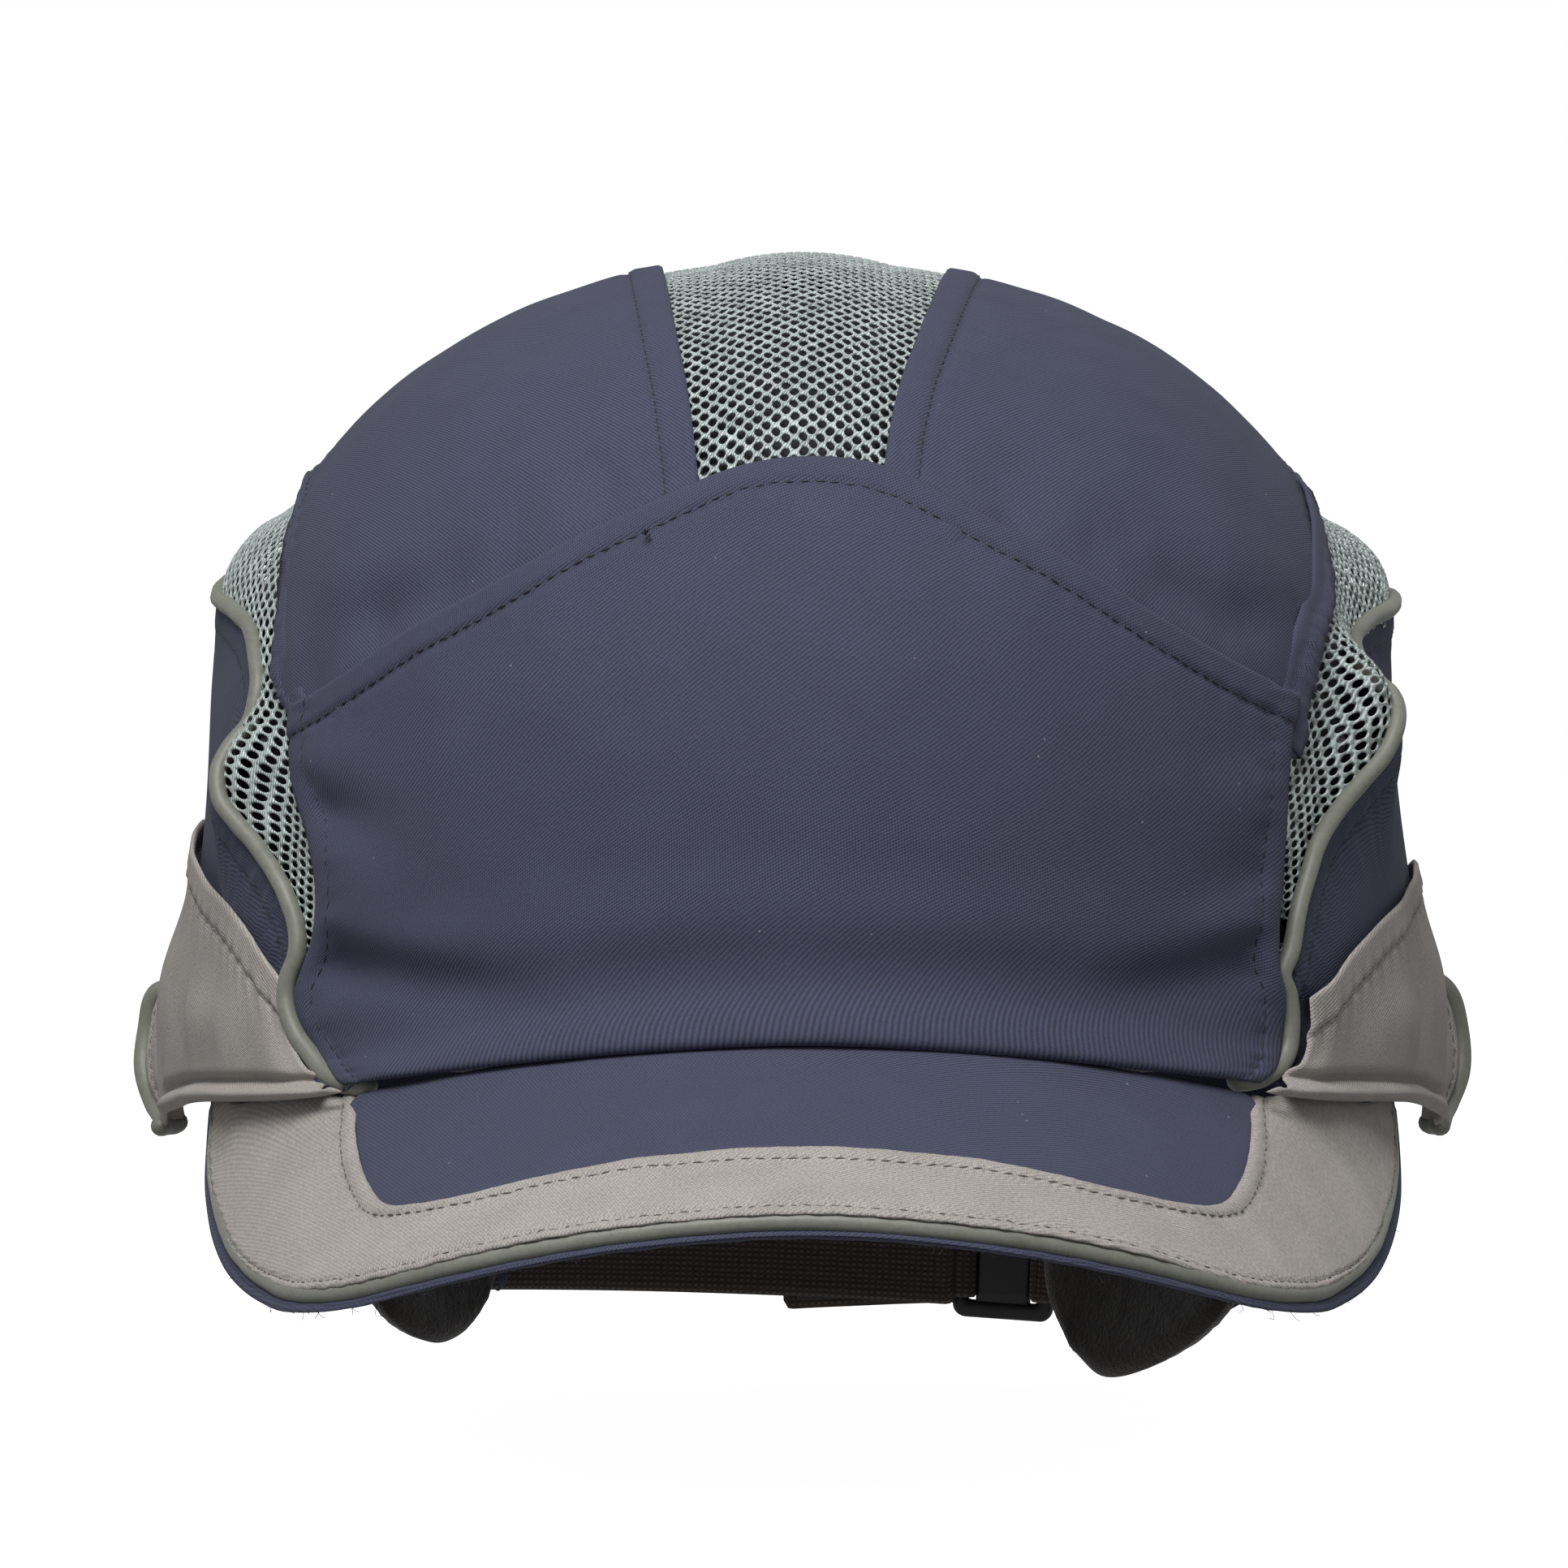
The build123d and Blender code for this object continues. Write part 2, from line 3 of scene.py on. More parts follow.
import bmesh
import bpy
import numpy as np
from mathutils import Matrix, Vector


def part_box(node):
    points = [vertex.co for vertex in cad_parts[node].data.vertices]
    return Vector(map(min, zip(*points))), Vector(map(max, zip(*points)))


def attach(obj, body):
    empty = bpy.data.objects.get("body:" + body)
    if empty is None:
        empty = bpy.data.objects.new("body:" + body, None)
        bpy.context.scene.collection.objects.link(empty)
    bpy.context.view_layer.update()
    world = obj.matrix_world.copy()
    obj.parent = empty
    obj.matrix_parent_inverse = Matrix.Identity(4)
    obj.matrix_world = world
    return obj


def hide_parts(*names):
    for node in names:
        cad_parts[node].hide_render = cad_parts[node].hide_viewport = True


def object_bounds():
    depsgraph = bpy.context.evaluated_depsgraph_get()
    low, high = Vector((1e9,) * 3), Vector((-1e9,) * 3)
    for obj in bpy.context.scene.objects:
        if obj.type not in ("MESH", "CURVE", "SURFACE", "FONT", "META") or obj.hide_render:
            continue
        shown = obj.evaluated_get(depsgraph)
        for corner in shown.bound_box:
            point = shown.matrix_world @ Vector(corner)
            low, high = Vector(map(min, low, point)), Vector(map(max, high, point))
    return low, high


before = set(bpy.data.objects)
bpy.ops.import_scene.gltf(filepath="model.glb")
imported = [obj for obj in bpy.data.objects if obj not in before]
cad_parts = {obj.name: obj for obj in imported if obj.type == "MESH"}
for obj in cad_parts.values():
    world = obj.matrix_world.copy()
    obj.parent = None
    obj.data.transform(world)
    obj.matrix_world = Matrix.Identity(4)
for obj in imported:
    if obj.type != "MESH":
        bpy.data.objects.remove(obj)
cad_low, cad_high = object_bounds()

# Bump cap. +X to the wearer's left, -Y forward along the peak, +Z up. Shapes are worked
# out in millimetres and turned into metres when a mesh is made.
MM = 0.001

_, shell_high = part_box("protective_shell")
HALF_WIDTH = shell_high[0] / MM
HALF_LENGTH = shell_high[1] / MM
HEIGHT = shell_high[2] / MM
ROUNDNESS = 3.2

# Side band, the same sections as the CAD: z, half width, centre y, front y, rear y.
BAND_SECTIONS = np.array((
    (-69, 75, 30, -120, 111),
    (-45, 88, 32, -124, 113),
    (-24, 99, 30, -126, 114.2),
    (-10, 99.5, 26, -126, 115.2),
    (5, 97, 18, -126, 115.7),
    (25, 93.5, 8, -124, 115.2),
    (50, 91.5, 2, -120, 111.8),
    (66, 90, 0, -114, 105.5),
))
PEAK_RADIUS = 106
PEAK_SLOPE = 0.433
PEAK_ROOT = (-114, -2)

# How far each layer's outer face stands off the crown, and how thick a panel is.
NET_OFF, CROWN_OFF, LAP_OFF, LINING_OFF = 0.9, 1.9, 2.8, -2.6
CLOTH_THICK = 0.9
# The same for the layers of the side band.
SIDE_OFF, GREY_OFF, PAD_OFF = 0.9, 2.2, -4.0


# ---------------------------------------------------------------- curves and surfaces
def ease(x):
    """Smooth step from 0 to 1."""
    x = np.clip(x, 0, 1)
    return x * x * (3 - 2 * x)


def spline(knots, values, at):
    """Smooth curve through values given at increasing knots."""
    knots, values = np.asarray(knots, float), np.asarray(values, float)
    slopes = np.gradient(values, knots)
    i = np.clip(np.searchsorted(knots, at) - 1, 0, len(knots) - 2)
    h = knots[i + 1] - knots[i]
    t = np.clip((at - knots[i]) / h, 0, 1)
    return (
        (2 * t**3 - 3 * t**2 + 1) * values[i]
        + (t**3 - 2 * t**2 + t) * h * slopes[i]
        + (3 * t**2 - 2 * t**3) * values[i + 1]
        + (t**3 - t**2) * h * slopes[i + 1]
    )


def lengths(points):
    """Distance along a path to each of its points."""
    return np.concatenate([[0], np.cumsum(np.linalg.norm(np.diff(points, axis=0), axis=1))])


def unit(vectors):
    """Vectors along the last axis, each made 1 long."""
    return vectors / (np.linalg.norm(vectors, axis=-1, keepdims=True) + 1e-12)


def bell(x, width):
    """1 where x is 0, dying away to both sides over a width."""
    return np.exp(-((x / width) ** 2))


def curve(points, smooth=True):
    """Function from 0..1 to a point on the curve through points, by length."""
    dense = np.asarray(points, float)
    if smooth and len(dense) > 2:
        gaps = np.linalg.norm(np.diff(dense, axis=0), axis=1) ** 0.7
        knots = np.concatenate([[0], np.cumsum(gaps)])
        at = np.linspace(0, knots[-1], 24 * len(dense))
        dense = np.stack([spline(knots, column, at) for column in dense.T], -1)
    reach = lengths(dense)
    return lambda s: np.stack([np.interp(np.asarray(s) * reach[-1], reach, c) for c in dense.T], -1)


def coons(bottom, top, left, right, us, vs):
    """Grid of plan points that fills four boundary curves."""
    u, v = us[:, None, None], vs[None, :, None]
    low, high = bottom(us)[:, None], top(us)[:, None]
    west, east = left(vs)[None], right(vs)[None]
    corners = (
        (1 - u) * (1 - v) * bottom(0) + u * (1 - v) * bottom(1) + (1 - u) * v * top(0) + u * v * top(1)
    )
    return (1 - v) * low + v * high + (1 - u) * west + u * east - corners


def marks(length, fine=0.7, coarse=2.2, zone=8, ends=(True, True)):
    """Places from 0 to 1 along a length, close together near the ends asked for."""
    places = [0.0]
    while places[-1] < length:
        near = min(places[-1] if ends[0] else length, length - places[-1] if ends[1] else length)
        places.append(places[-1] + min(coarse, fine + max(0, near - zone) * 0.2))
    return np.array(places) / places[-1]


def crown_height(z, off):
    return (np.maximum(z, 0) / (HEIGHT + off)) ** ROUNDNESS


def crown_front(xz, off, back=1):
    """Crown point above a place seen from the front (back=1) or from behind (-1)."""
    x, z = xz[..., 0], xz[..., 1]
    rest = 1 - (x / (HALF_WIDTH + off)) ** 2 - crown_height(z, off)
    return np.stack([x, -back * (HALF_LENGTH + off) * np.sqrt(np.maximum(rest, 1e-4)), z], -1)


def crown_side(yz, off, side):
    y, z = yz[..., 0], yz[..., 1]
    rest = 1 - (y / (HALF_LENGTH + off)) ** 2 - crown_height(z, off)
    return np.stack([side * (HALF_WIDTH + off) * np.sqrt(np.maximum(rest, 1e-4)), y, z], -1)


def crown_turn(x, angle, off):
    """Crown point at x, at an angle in degrees from straight ahead, over the top, to behind."""
    turn = np.radians(angle)
    low, high = np.zeros(np.broadcast(x, turn).shape), np.full(np.broadcast(x, turn).shape, 200.0)
    for _ in range(40):
        r = (low + high) / 2
        level = (
            (x / (HALF_WIDTH + off)) ** 2
            + (r * np.cos(turn) / (HALF_LENGTH + off)) ** 2
            + crown_height(r * np.sin(turn), off)
        )
        high, low = np.where(level > 1, r, high), np.where(level > 1, low, r)
    return np.stack([x + 0 * r, -r * np.cos(turn), r * np.sin(turn)], -1)


def side_turn(y, angle, off, side):
    """Crown point at y, at an angle in degrees up from straight out to one side."""
    turn = np.radians(angle)
    low, high = np.zeros(np.broadcast(y, turn).shape), np.full(np.broadcast(y, turn).shape, 200.0)
    for _ in range(40):
        r = (low + high) / 2
        level = (
            (y / (HALF_LENGTH + off)) ** 2
            + (r * np.cos(turn) / (HALF_WIDTH + off)) ** 2
            + crown_height(r * np.sin(turn), off)
        )
        high, low = np.where(level > 1, r, high), np.where(level > 1, low, r)
    return np.stack([side * r * np.cos(turn), y + 0 * r, r * np.sin(turn)], -1)


def band_shape(z):
    return [spline(BAND_SECTIONS[:, 0], BAND_SECTIONS[:, k], z) for k in (1, 2, 3, 4)]


def band(tz, off, side):
    """Side band point: tz holds the turn in degrees, -90 ahead to 90 behind, and z."""
    turn, z = np.radians(tz[..., 0]), tz[..., 1]
    half_width, centre, front, rear = band_shape(z)
    reach = np.where(turn < 0, centre - front, rear - centre) + off
    return np.stack([side * (half_width + off) * np.cos(turn), centre + reach * np.sin(turn), z], -1)


def band_places(yz):
    """Turns and heights of places on the side band seen from the side as (y, z)."""
    yz = np.asarray(yz, float)
    _, centre, front, rear = band_shape(yz[:, 1])
    reach = np.where(yz[:, 0] < centre, centre - front, rear - centre)
    turn = np.degrees(np.arcsin(np.clip((yz[:, 0] - centre) / reach, -1, 1)))
    return [tuple(p) for p in np.stack([turn, yz[:, 1]], -1)]


def band_places_behind(xz):
    """Turns and heights of places on the side band seen from behind as (x, z)."""
    xz = np.asarray(xz, float)
    half_width = band_shape(xz[:, 1])[0]
    turn = np.degrees(np.arccos(np.clip(xz[:, 0] / half_width, -1, 1)))
    return [tuple(p) for p in np.stack([turn, xz[:, 1]], -1)]


def peak(xy, depth):
    """Point in the peak, a depth below its top face."""
    x, y = xy[..., 0], xy[..., 1]
    sag = PEAK_RADIUS - np.sqrt(PEAK_RADIUS**2 - np.minimum(x**2, PEAK_RADIUS**2 - 1))
    z = PEAK_ROOT[1] + PEAK_SLOPE * (y - PEAK_ROOT[0]) - sag
    return np.stack([x, y, z - depth], -1)


def wobble(p, size, seed, octaves=2):
    """Smooth unevenness from about -1 to 1, the same each run."""
    dice = np.random.default_rng(seed)
    total = 0
    for octave in range(octaves):
        for _ in range(5):
            way = dice.normal(size=3)
            way *= 2 * math.pi * 2**octave / size / np.linalg.norm(way)
            total = total + np.sin(p @ way + dice.uniform(0, 2 * math.pi)) / 2**octave
    return total / 4


def wobble_all_ways(p, size, seed):
    """Smooth unevenness in x, y and z."""
    return np.stack([wobble(p, size, seed + k) for k in range(3)], -1)


def crease(q, a, b, width, depth):
    """A soft fold from a, where it is deepest, running out towards b."""
    a, b = np.asarray(a, float), np.asarray(b, float)
    t = np.clip(((q - a) @ (b - a)) / ((b - a) @ (b - a)), 0, 1)
    away = np.linalg.norm(q - (a + t[..., None] * (b - a)), axis=-1)
    return depth * bell(away, width) * (1 - ease(t))


# ---------------------------------------------------------------- materials
class Tree:
    """Adds nodes to a node tree and joins them up."""

    def __init__(self, tree):
        self.nodes, self.links = tree.nodes, tree.links

    def add(self, kind, output, sockets, **settings):
        """New node; each of its sockets takes a value or another node's output."""
        node = self.nodes.new(kind)
        for key, value in settings.items():
            setattr(node, key, value)
        for key, value in sockets.items():
            self.fill(node.inputs[key], value)
        return node.outputs[output]

    def fill(self, socket, value):
        if isinstance(value, bpy.types.NodeSocket):
            self.links.new(value, socket)
        else:
            socket.default_value = value

    def calc(self, operation, a, b):
        return self.add("ShaderNodeMath", "Value", {0: a, 1: b}, operation=operation)

    def blend(self, *terms):
        """Sum of values, each times its weight."""
        total, *rest = [self.calc("MULTIPLY", value, weight) for value, weight in terms]
        for part in rest:
            total = self.calc("ADD", total, part)
        return total


class Finish(Tree):
    """A new material, patterned along the cloth in millimetres or through the object in metres."""

    def __init__(self, name, colour, rough, sheen=0.0, along_cloth=False):
        self.material = bpy.data.materials.new(name)
        self.material.use_nodes = True
        super().__init__(self.material.node_tree)
        self.colour = colour
        self.shader = self.nodes["Principled BSDF"]
        self.set("Base Color", (*colour, 1))
        self.set("Roughness", rough)
        self.set("Sheen Weight", sheen)
        self.set("Sheen Roughness", 0.5)
        if along_cloth:
            self.place = self.add("ShaderNodeUVMap", "UV", {}, uv_map="cloth")
        else:
            self.place = self.add("ShaderNodeTexCoord", "Object", {})

    def set(self, socket, value):
        self.fill(self.shader.inputs[socket], value)

    def noise(self, scale, detail=3.0, rough=0.55):
        sockets = {"Vector": self.place, "Scale": scale, "Detail": detail, "Roughness": rough}
        return self.add("ShaderNodeTexNoise", "Fac", sockets)

    def wave(self, scale, turn, distortion, detail_scale):
        """Parallel stripes, turned by an angle in degrees."""
        rotation = (0, 0, math.radians(turn))
        turned = self.add("ShaderNodeMapping", "Vector", {"Vector": self.place, "Rotation": rotation})
        return self.add("ShaderNodeTexWave", "Fac", {
            "Vector": turned, "Scale": scale, "Distortion": distortion,
            "Detail": 2, "Detail Scale": detail_scale,
        })

    def tint(self, fac, *stops):
        """The material's colour, darker or lighter at each stop of a ramp."""
        node = self.nodes.new("ShaderNodeValToRGB")
        while len(node.color_ramp.elements) < len(stops):
            node.color_ramp.elements.new(0.5)
        for element, (position, factor) in zip(node.color_ramp.elements, stops):
            element.position = position
            element.color = (*(min(1, c * factor) for c in self.colour), 1)
        self.fill(node.inputs["Fac"], fac)
        return node.outputs["Color"]

    def bump(self, height, strength, distance):
        sockets = {"Height": height, "Strength": strength, "Distance": distance}
        self.set("Normal", self.add("ShaderNodeBump", "Normal", sockets))


def srgb(r, g, b):
    return tuple((c / 255 / 12.92) if c < 10.3 else ((c / 255 + 0.055) / 1.055) ** 2.4 for c in (r, g, b))


# Scale of a wave texture that gives one stripe in each millimetre.
STRIPES_PER_UNIT = math.pi / 10


def twill(name, colour, lint, thread_mm=0.5, contrast=0.36, sheen=0.015):
    """Fine twill: slanting ribs, mottled yarn, a few specks of lint."""
    look = Finish(name, colour, 0.9, sheen, along_cloth=True)
    ribs = look.wave(STRIPES_PER_UNIT / thread_mm, 58, 0.6, 1.5)
    picks = look.wave(STRIPES_PER_UNIT / (thread_mm * 0.8), -20, 0.8, 1.2)
    mottle = look.noise(2.2, 2)
    tone = look.blend((ribs, contrast), (picks, contrast * 0.6), (look.noise(0.09, 4), 0.12), (mottle, 0.33))
    base = look.tint(tone, (0.2, 0.4), (0.8, 1.6))
    distance = look.add("ShaderNodeTexVoronoi", "Distance", {"Vector": look.place, "Scale": 0.16})
    specks = look.calc("MULTIPLY", look.calc("LESS_THAN", distance, 0.028), 0.5)
    mixer = look.nodes.new("ShaderNodeMix")
    mixer.data_type = "RGBA"
    for socket, value in (("Factor", specks), ("A", base), ("B", (*lint, 1))):
        look.fill(mixer.inputs[socket], value)
    look.set("Base Color", mixer.outputs["Result"])
    look.bump(look.calc("ADD", ribs, mottle), 0.35, 0.00012)
    return look.material


def piping_cloth(name, colour):
    """Reflective tape: satin, almost smooth, with faint rubbed marks."""
    look = Finish(name, colour, 0.5, 0.1)
    fine = look.noise(900, 4, 0.6)
    look.set("Base Color", look.tint(look.blend((fine, 0.5), (look.noise(60), 0.5)), (0.3, 0.8), (0.7, 1.2)))
    look.bump(fine, 0.25, 0.0002)
    return look.material


def yarn_cloth(name, colour):
    """Shiny synthetic yarn, twisted, its colour darkened as painted shade in the twist's folds and lightened
    as a painted highlight on its tops.
    """
    look = Finish(name, colour, 0.34)
    twist = look.wave(700, 35, 3.0, 3.0)
    tone = look.blend((twist, 0.4), (look.noise(260), 0.6))
    # The ramp paints shade into the twist's folds and a highlight on its tops.
    look.set("Base Color", look.tint(tone, (0.25, 0.45), (0.5, 1), (0.75, 1.7)))
    look.bump(twist, 0.3, 0.0002)
    return look.material


def webbing(name, colour, pitch_mm=1.1):
    """Woven webbing: raised ribs both ways."""
    look = Finish(name, colour, 0.8, 0.1, along_cloth=True)
    warp = look.wave(STRIPES_PER_UNIT / pitch_mm, 0, 0.3, 1.0)
    weft = look.wave(STRIPES_PER_UNIT / (pitch_mm * 0.8), 90, 0.3, 1.0)
    weave = look.calc("MULTIPLY", warp, weft)
    tone = look.blend((weave, 0.7), (look.noise(1.6), 0.4))
    look.set("Base Color", look.tint(tone, (0.1, 0.45), (0.9, 2.0)))
    look.bump(weave, 0.7, 0.0004)
    return look.material


def nap(name, colour, scale=1400, sheen=0.5):
    """Terry, foam or loop pile: a fine broken surface."""
    look = Finish(name, colour, 0.95, sheen)
    pile = look.noise(scale, 4, 0.7)
    tone = look.blend((pile, 0.6), (look.noise(scale * 0.3), 0.4))
    look.set("Base Color", look.tint(tone, (0.3, 0.5), (0.7, 1.9)))
    look.bump(pile, 0.8, 0.0006)
    return look.material


def moulded(name, colour, rough):
    """Moulded plastic: an even skin with faint flow marks."""
    look = Finish(name, colour, rough)
    flow = look.noise(90, 5)
    look.set("Base Color", look.tint(flow, (0.3, 0.85), (0.7, 1.15)))
    look.set("Roughness", look.calc("ADD", rough - 0.06, look.calc("MULTIPLY", flow, 0.12)))
    look.bump(look.noise(2500, 2), 0.25, 0.0001)
    return look.material


NAVY = srgb(60, 63, 84)
GREY = srgb(190, 183, 177)
LINT = srgb(150, 150, 155)
MATERIALS = {
    "navy": twill("navy_twill", NAVY, LINT),
    "grey": twill("grey_twill", GREY, srgb(190, 186, 182), contrast=0.12),
    "piping": piping_cloth("reflective_piping", srgb(116, 118, 108)),
    "net": yarn_cloth("net_yarn", srgb(160, 170, 168)),
    "webbing": webbing("black_webbing", srgb(56, 48, 43)),
    "terry": nap("dark_terry", srgb(30, 23, 19)),
    "pile": nap("hook_and_loop", srgb(24, 24, 26), 2200, 0.2),
    "foam": nap("pad_foam", srgb(48, 48, 51), 900, 0.0),
    "shell": moulded("shell_plastic", srgb(30, 30, 33), 0.42),
    "ring": moulded("ring_plastic", srgb(24, 24, 26), 0.38),
    "board": moulded("board_plastic", srgb(210, 208, 202), 0.5),
    "label": twill("label_tape", srgb(222, 221, 216), srgb(235, 235, 235), 0.3, 0.05, 0.0),
    "dark_thread": piping_cloth("dark_thread", srgb(24, 25, 36)),
    "grey_thread": piping_cloth("grey_thread", srgb(96, 92, 88)),
    "light_thread": piping_cloth("light_thread", srgb(196, 192, 188)),
}


# ---------------------------------------------------------------- mesh making
def build(name, points, faces, material, uv=None, face_out=True):
    """Mesh object from points in millimetres. uv holds one pair per point."""
    mesh = bpy.data.meshes.new(name)
    if isinstance(faces, np.ndarray):
        faces = faces.tolist()
    mesh.from_pydata((np.asarray(points) * MM).tolist(), [], [tuple(f) for f in faces])
    if face_out:
        whole = bmesh.new()
        whole.from_mesh(mesh)
        bmesh.ops.recalc_face_normals(whole, faces=whole.faces)
        whole.to_mesh(mesh)
        whole.free()
    if uv is not None:
        layer = mesh.uv_layers.new(name="cloth")
        corners = np.empty(len(mesh.loops), np.int32)
        mesh.loops.foreach_get("vertex_index", corners)
        layer.data.foreach_set("uv", np.asarray(uv, np.float32)[corners].ravel())
    mesh.polygons.foreach_set("use_smooth", [True] * len(mesh.polygons))
    mesh.materials.append(MATERIALS[material])
    mesh.update()
    thing = bpy.data.objects.new(name, mesh)
    bpy.context.collection.objects.link(thing)
    return thing


def place(thing, material, *nodes, body="cap"):
    """Say what body a piece rides on and the CAD nodes it stands for. The finish it is given, material, is
    not used.
    """
    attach(thing, body)
    if nodes:
        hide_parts(*nodes)


def grid_faces(rows, columns, start=0, flip=False):
    i, j = np.meshgrid(np.arange(rows - 1), np.arange(columns - 1), indexing="ij")
    a = (i * columns + j).ravel() + start
    quads = np.stack([a, a + columns, a + columns + 1, a + 1], -1)
    return quads[:, ::-1] if flip else quads


def slab_faces(rows, columns):
    """Faces of a closed piece whose points are an outer grid and then an inner one."""
    back = rows * columns
    rim = np.concatenate([
        np.arange(columns - 1), np.arange(rows - 1) * columns + columns - 1,
        (rows - 1) * columns + np.arange(columns - 1, 0, -1), np.arange(rows - 1, 0, -1) * columns,
    ])
    after = np.roll(rim, -1)
    wall = np.stack([rim, after, after + back, rim + back], -1)
    return np.vstack([grid_faces(rows, columns), grid_faces(rows, columns, back, True), wall])


def slab(name, outer, inner, material, uv):
    points = np.vstack([outer.reshape(-1, 3), inner.reshape(-1, 3)])
    return build(name, points, slab_faces(*outer.shape[:2]), material, np.vstack([uv.reshape(-1, 2)] * 2))


class Cloth:
    """A panel as a grid of points. Each point knows its distance from the four edges."""

    def __init__(self, points, inside):
        self.p = np.array(points, float)
        self.inside = np.asarray(inside, float)
        self.measure()
        self.uv = np.stack([self.left, self.bottom], -1)

    def measure(self):
        self.n = unit(np.cross(np.gradient(self.p, axis=0), np.gradient(self.p, axis=1)))
        if np.sum(self.n * (self.p - self.inside)) < 0:
            self.n = -self.n
        across = np.linalg.norm(np.diff(self.p, axis=0), axis=2)
        along = np.linalg.norm(np.diff(self.p, axis=1), axis=2)
        self.left = np.vstack([np.zeros((1, self.p.shape[1])), np.cumsum(across, 0)])
        self.right = self.left[-1] - self.left
        self.bottom = np.hstack([np.zeros((self.p.shape[0], 1)), np.cumsum(along, 1)])
        self.top = self.bottom[:, -1:] - self.bottom

    def push(self, amount):
        """Move every point out by its own amount."""
        self.p = self.p + self.n * amount[..., None]
        self.measure()

    def hem(self, edge, width, lift=0.45, groove=0.3, pucker=0.16, seed=1):
        """Turned and topstitched edge: a double thickness, a sunk line and puckers."""
        away = getattr(self, edge)
        run = self.bottom if edge in ("left", "right") else self.left
        uneven = wobble(np.stack([run, 0 * run, 0 * run], -1), 23, seed)
        ridge = lift * ease(width - away + 0.5)
        sunk = groove * bell(away - width, 0.75)
        ripple = np.sin(2 * math.pi * (run + 1.5 * uneven) / 5.3) + 0.6 * np.sin(2 * math.pi * run / 2.3)
        spread = np.where(away < width, 2.2, 3.5)
        return ridge - sunk + pucker * ripple * bell(away - width, spread)

    def line(self, edge, away, start=0.0, stop=1.0):
        """Points and normals of a line a distance in from an edge."""
        flip = edge in ("left", "right")
        p, n, gap = self.p, self.n, getattr(self, edge)
        if flip:
            p, n, gap = p.transpose(1, 0, 2), n.transpose(1, 0, 2), gap.T
        if edge in ("right", "top"):
            p, n, gap = p[:, ::-1], n[:, ::-1], gap[:, ::-1]
        span = slice(int(start * len(gap)), max(int(stop * len(gap)), 2))
        return tuple(
            np.array([[np.interp(away, g, row[:, k]) for k in range(3)] for g, row in zip(gap, grid)])[span]
            for grid in (p, n)
        )

    def from_edge(self):
        """Distance of each point from the nearest edge."""
        return np.minimum.reduce([self.left, self.right, self.bottom, self.top])

    def solid(self, name, thickness, material):
        """Closed piece of cloth of a thickness, its edges rounded."""
        near = np.clip(self.from_edge() / thickness, 0, 1)
        dip = 0.42 * thickness * (1 - np.sqrt(1 - (1 - near) ** 2))
        outer = self.p - self.n * dip[..., None]
        inner = self.p - self.n * (thickness - dip)[..., None]
        return slab(name, outer, inner, material, self.uv)

    def panel(self, node, material="navy", thickness=CLOTH_THICK, body="cap"):
        """Piece of cloth that stands for the CAD node of its name."""
        place(self.solid(node, thickness, material), material, node, body=body)


# Length over which a tube's end is rounded off.
TIP_LENGTH = 2.0


def frames(points, normals=None):
    """Two side directions along a path."""
    tangent = unit(np.gradient(points, axis=0))
    if normals is None:
        normals = np.empty_like(points)
        side = np.cross(tangent[0], [0.0, 0.0, 1.0])
        if np.linalg.norm(side) < 1e-3:
            side = np.cross(tangent[0], [1.0, 0, 0])
        last = np.cross(side, tangent[0])
        for i, t in enumerate(tangent):
            last = last - t * (last @ t)
            last /= np.linalg.norm(last)
            normals[i] = last
    else:
        normals = unit(normals - tangent * np.sum(normals * tangent, axis=1, keepdims=True))
    return normals, np.cross(tangent, normals)


def tube_mesh(points, width, height, normals=None, sides=12):
    """Points, faces and cloth places of an open tube with an oval section."""
    up, across = frames(points, normals)
    count = len(points)
    width, height = np.broadcast_to(width, count), np.broadcast_to(height, count)
    angle = np.arange(sides) * 2 * math.pi / sides
    ring = (
        points[:, None]
        + across[:, None] * (np.cos(angle)[None, :, None] * width[:, None, None] / 2)
        + up[:, None] * (np.sin(angle)[None, :, None] * height[:, None, None] / 2)
    )
    uv = np.stack(np.broadcast_arrays(lengths(points)[:, None], (angle * (width.max() / 2))[None]), -1)
    start, around = np.arange(count - 1)[:, None] * sides, np.arange(sides)[None]
    a, b = start + around, start + (around + 1) % sides
    quads = np.stack([a, b, b + sides, a + sides], -1).reshape(-1, 4)
    return ring.reshape(-1, 3), quads, uv.reshape(-1, 2)


def tube(node, points, width, height, material, normals=None, sides=12):
    """Closed tube of the cap along a path, drawn in to a rounded tip at both ends, that
    stands for the CAD node of its name."""
    run = lengths(points)
    near = np.minimum(run, run[-1] - run) / TIP_LENGTH
    taper = np.sqrt(np.clip(1 - (1 - np.clip(near, 0, 1)) ** 2, 0.02, 1))
    ring, quads, uv = tube_mesh(points, width * taper, height * taper, normals, sides)
    base, around = len(ring), np.arange(sides)
    cap = np.stack([around, np.roll(around, -1), np.full(sides, base)], -1)
    faces = quads.tolist() + cap.tolist() + (cap + [base - sides, base - sides, 1]).tolist()
    uv = np.vstack([uv, [[0, 0]], [[run[-1], 0]]])
    thing = build(node, np.vstack([ring, points[:1], points[-1:]]), faces, material, uv)
    place(thing, material, node)


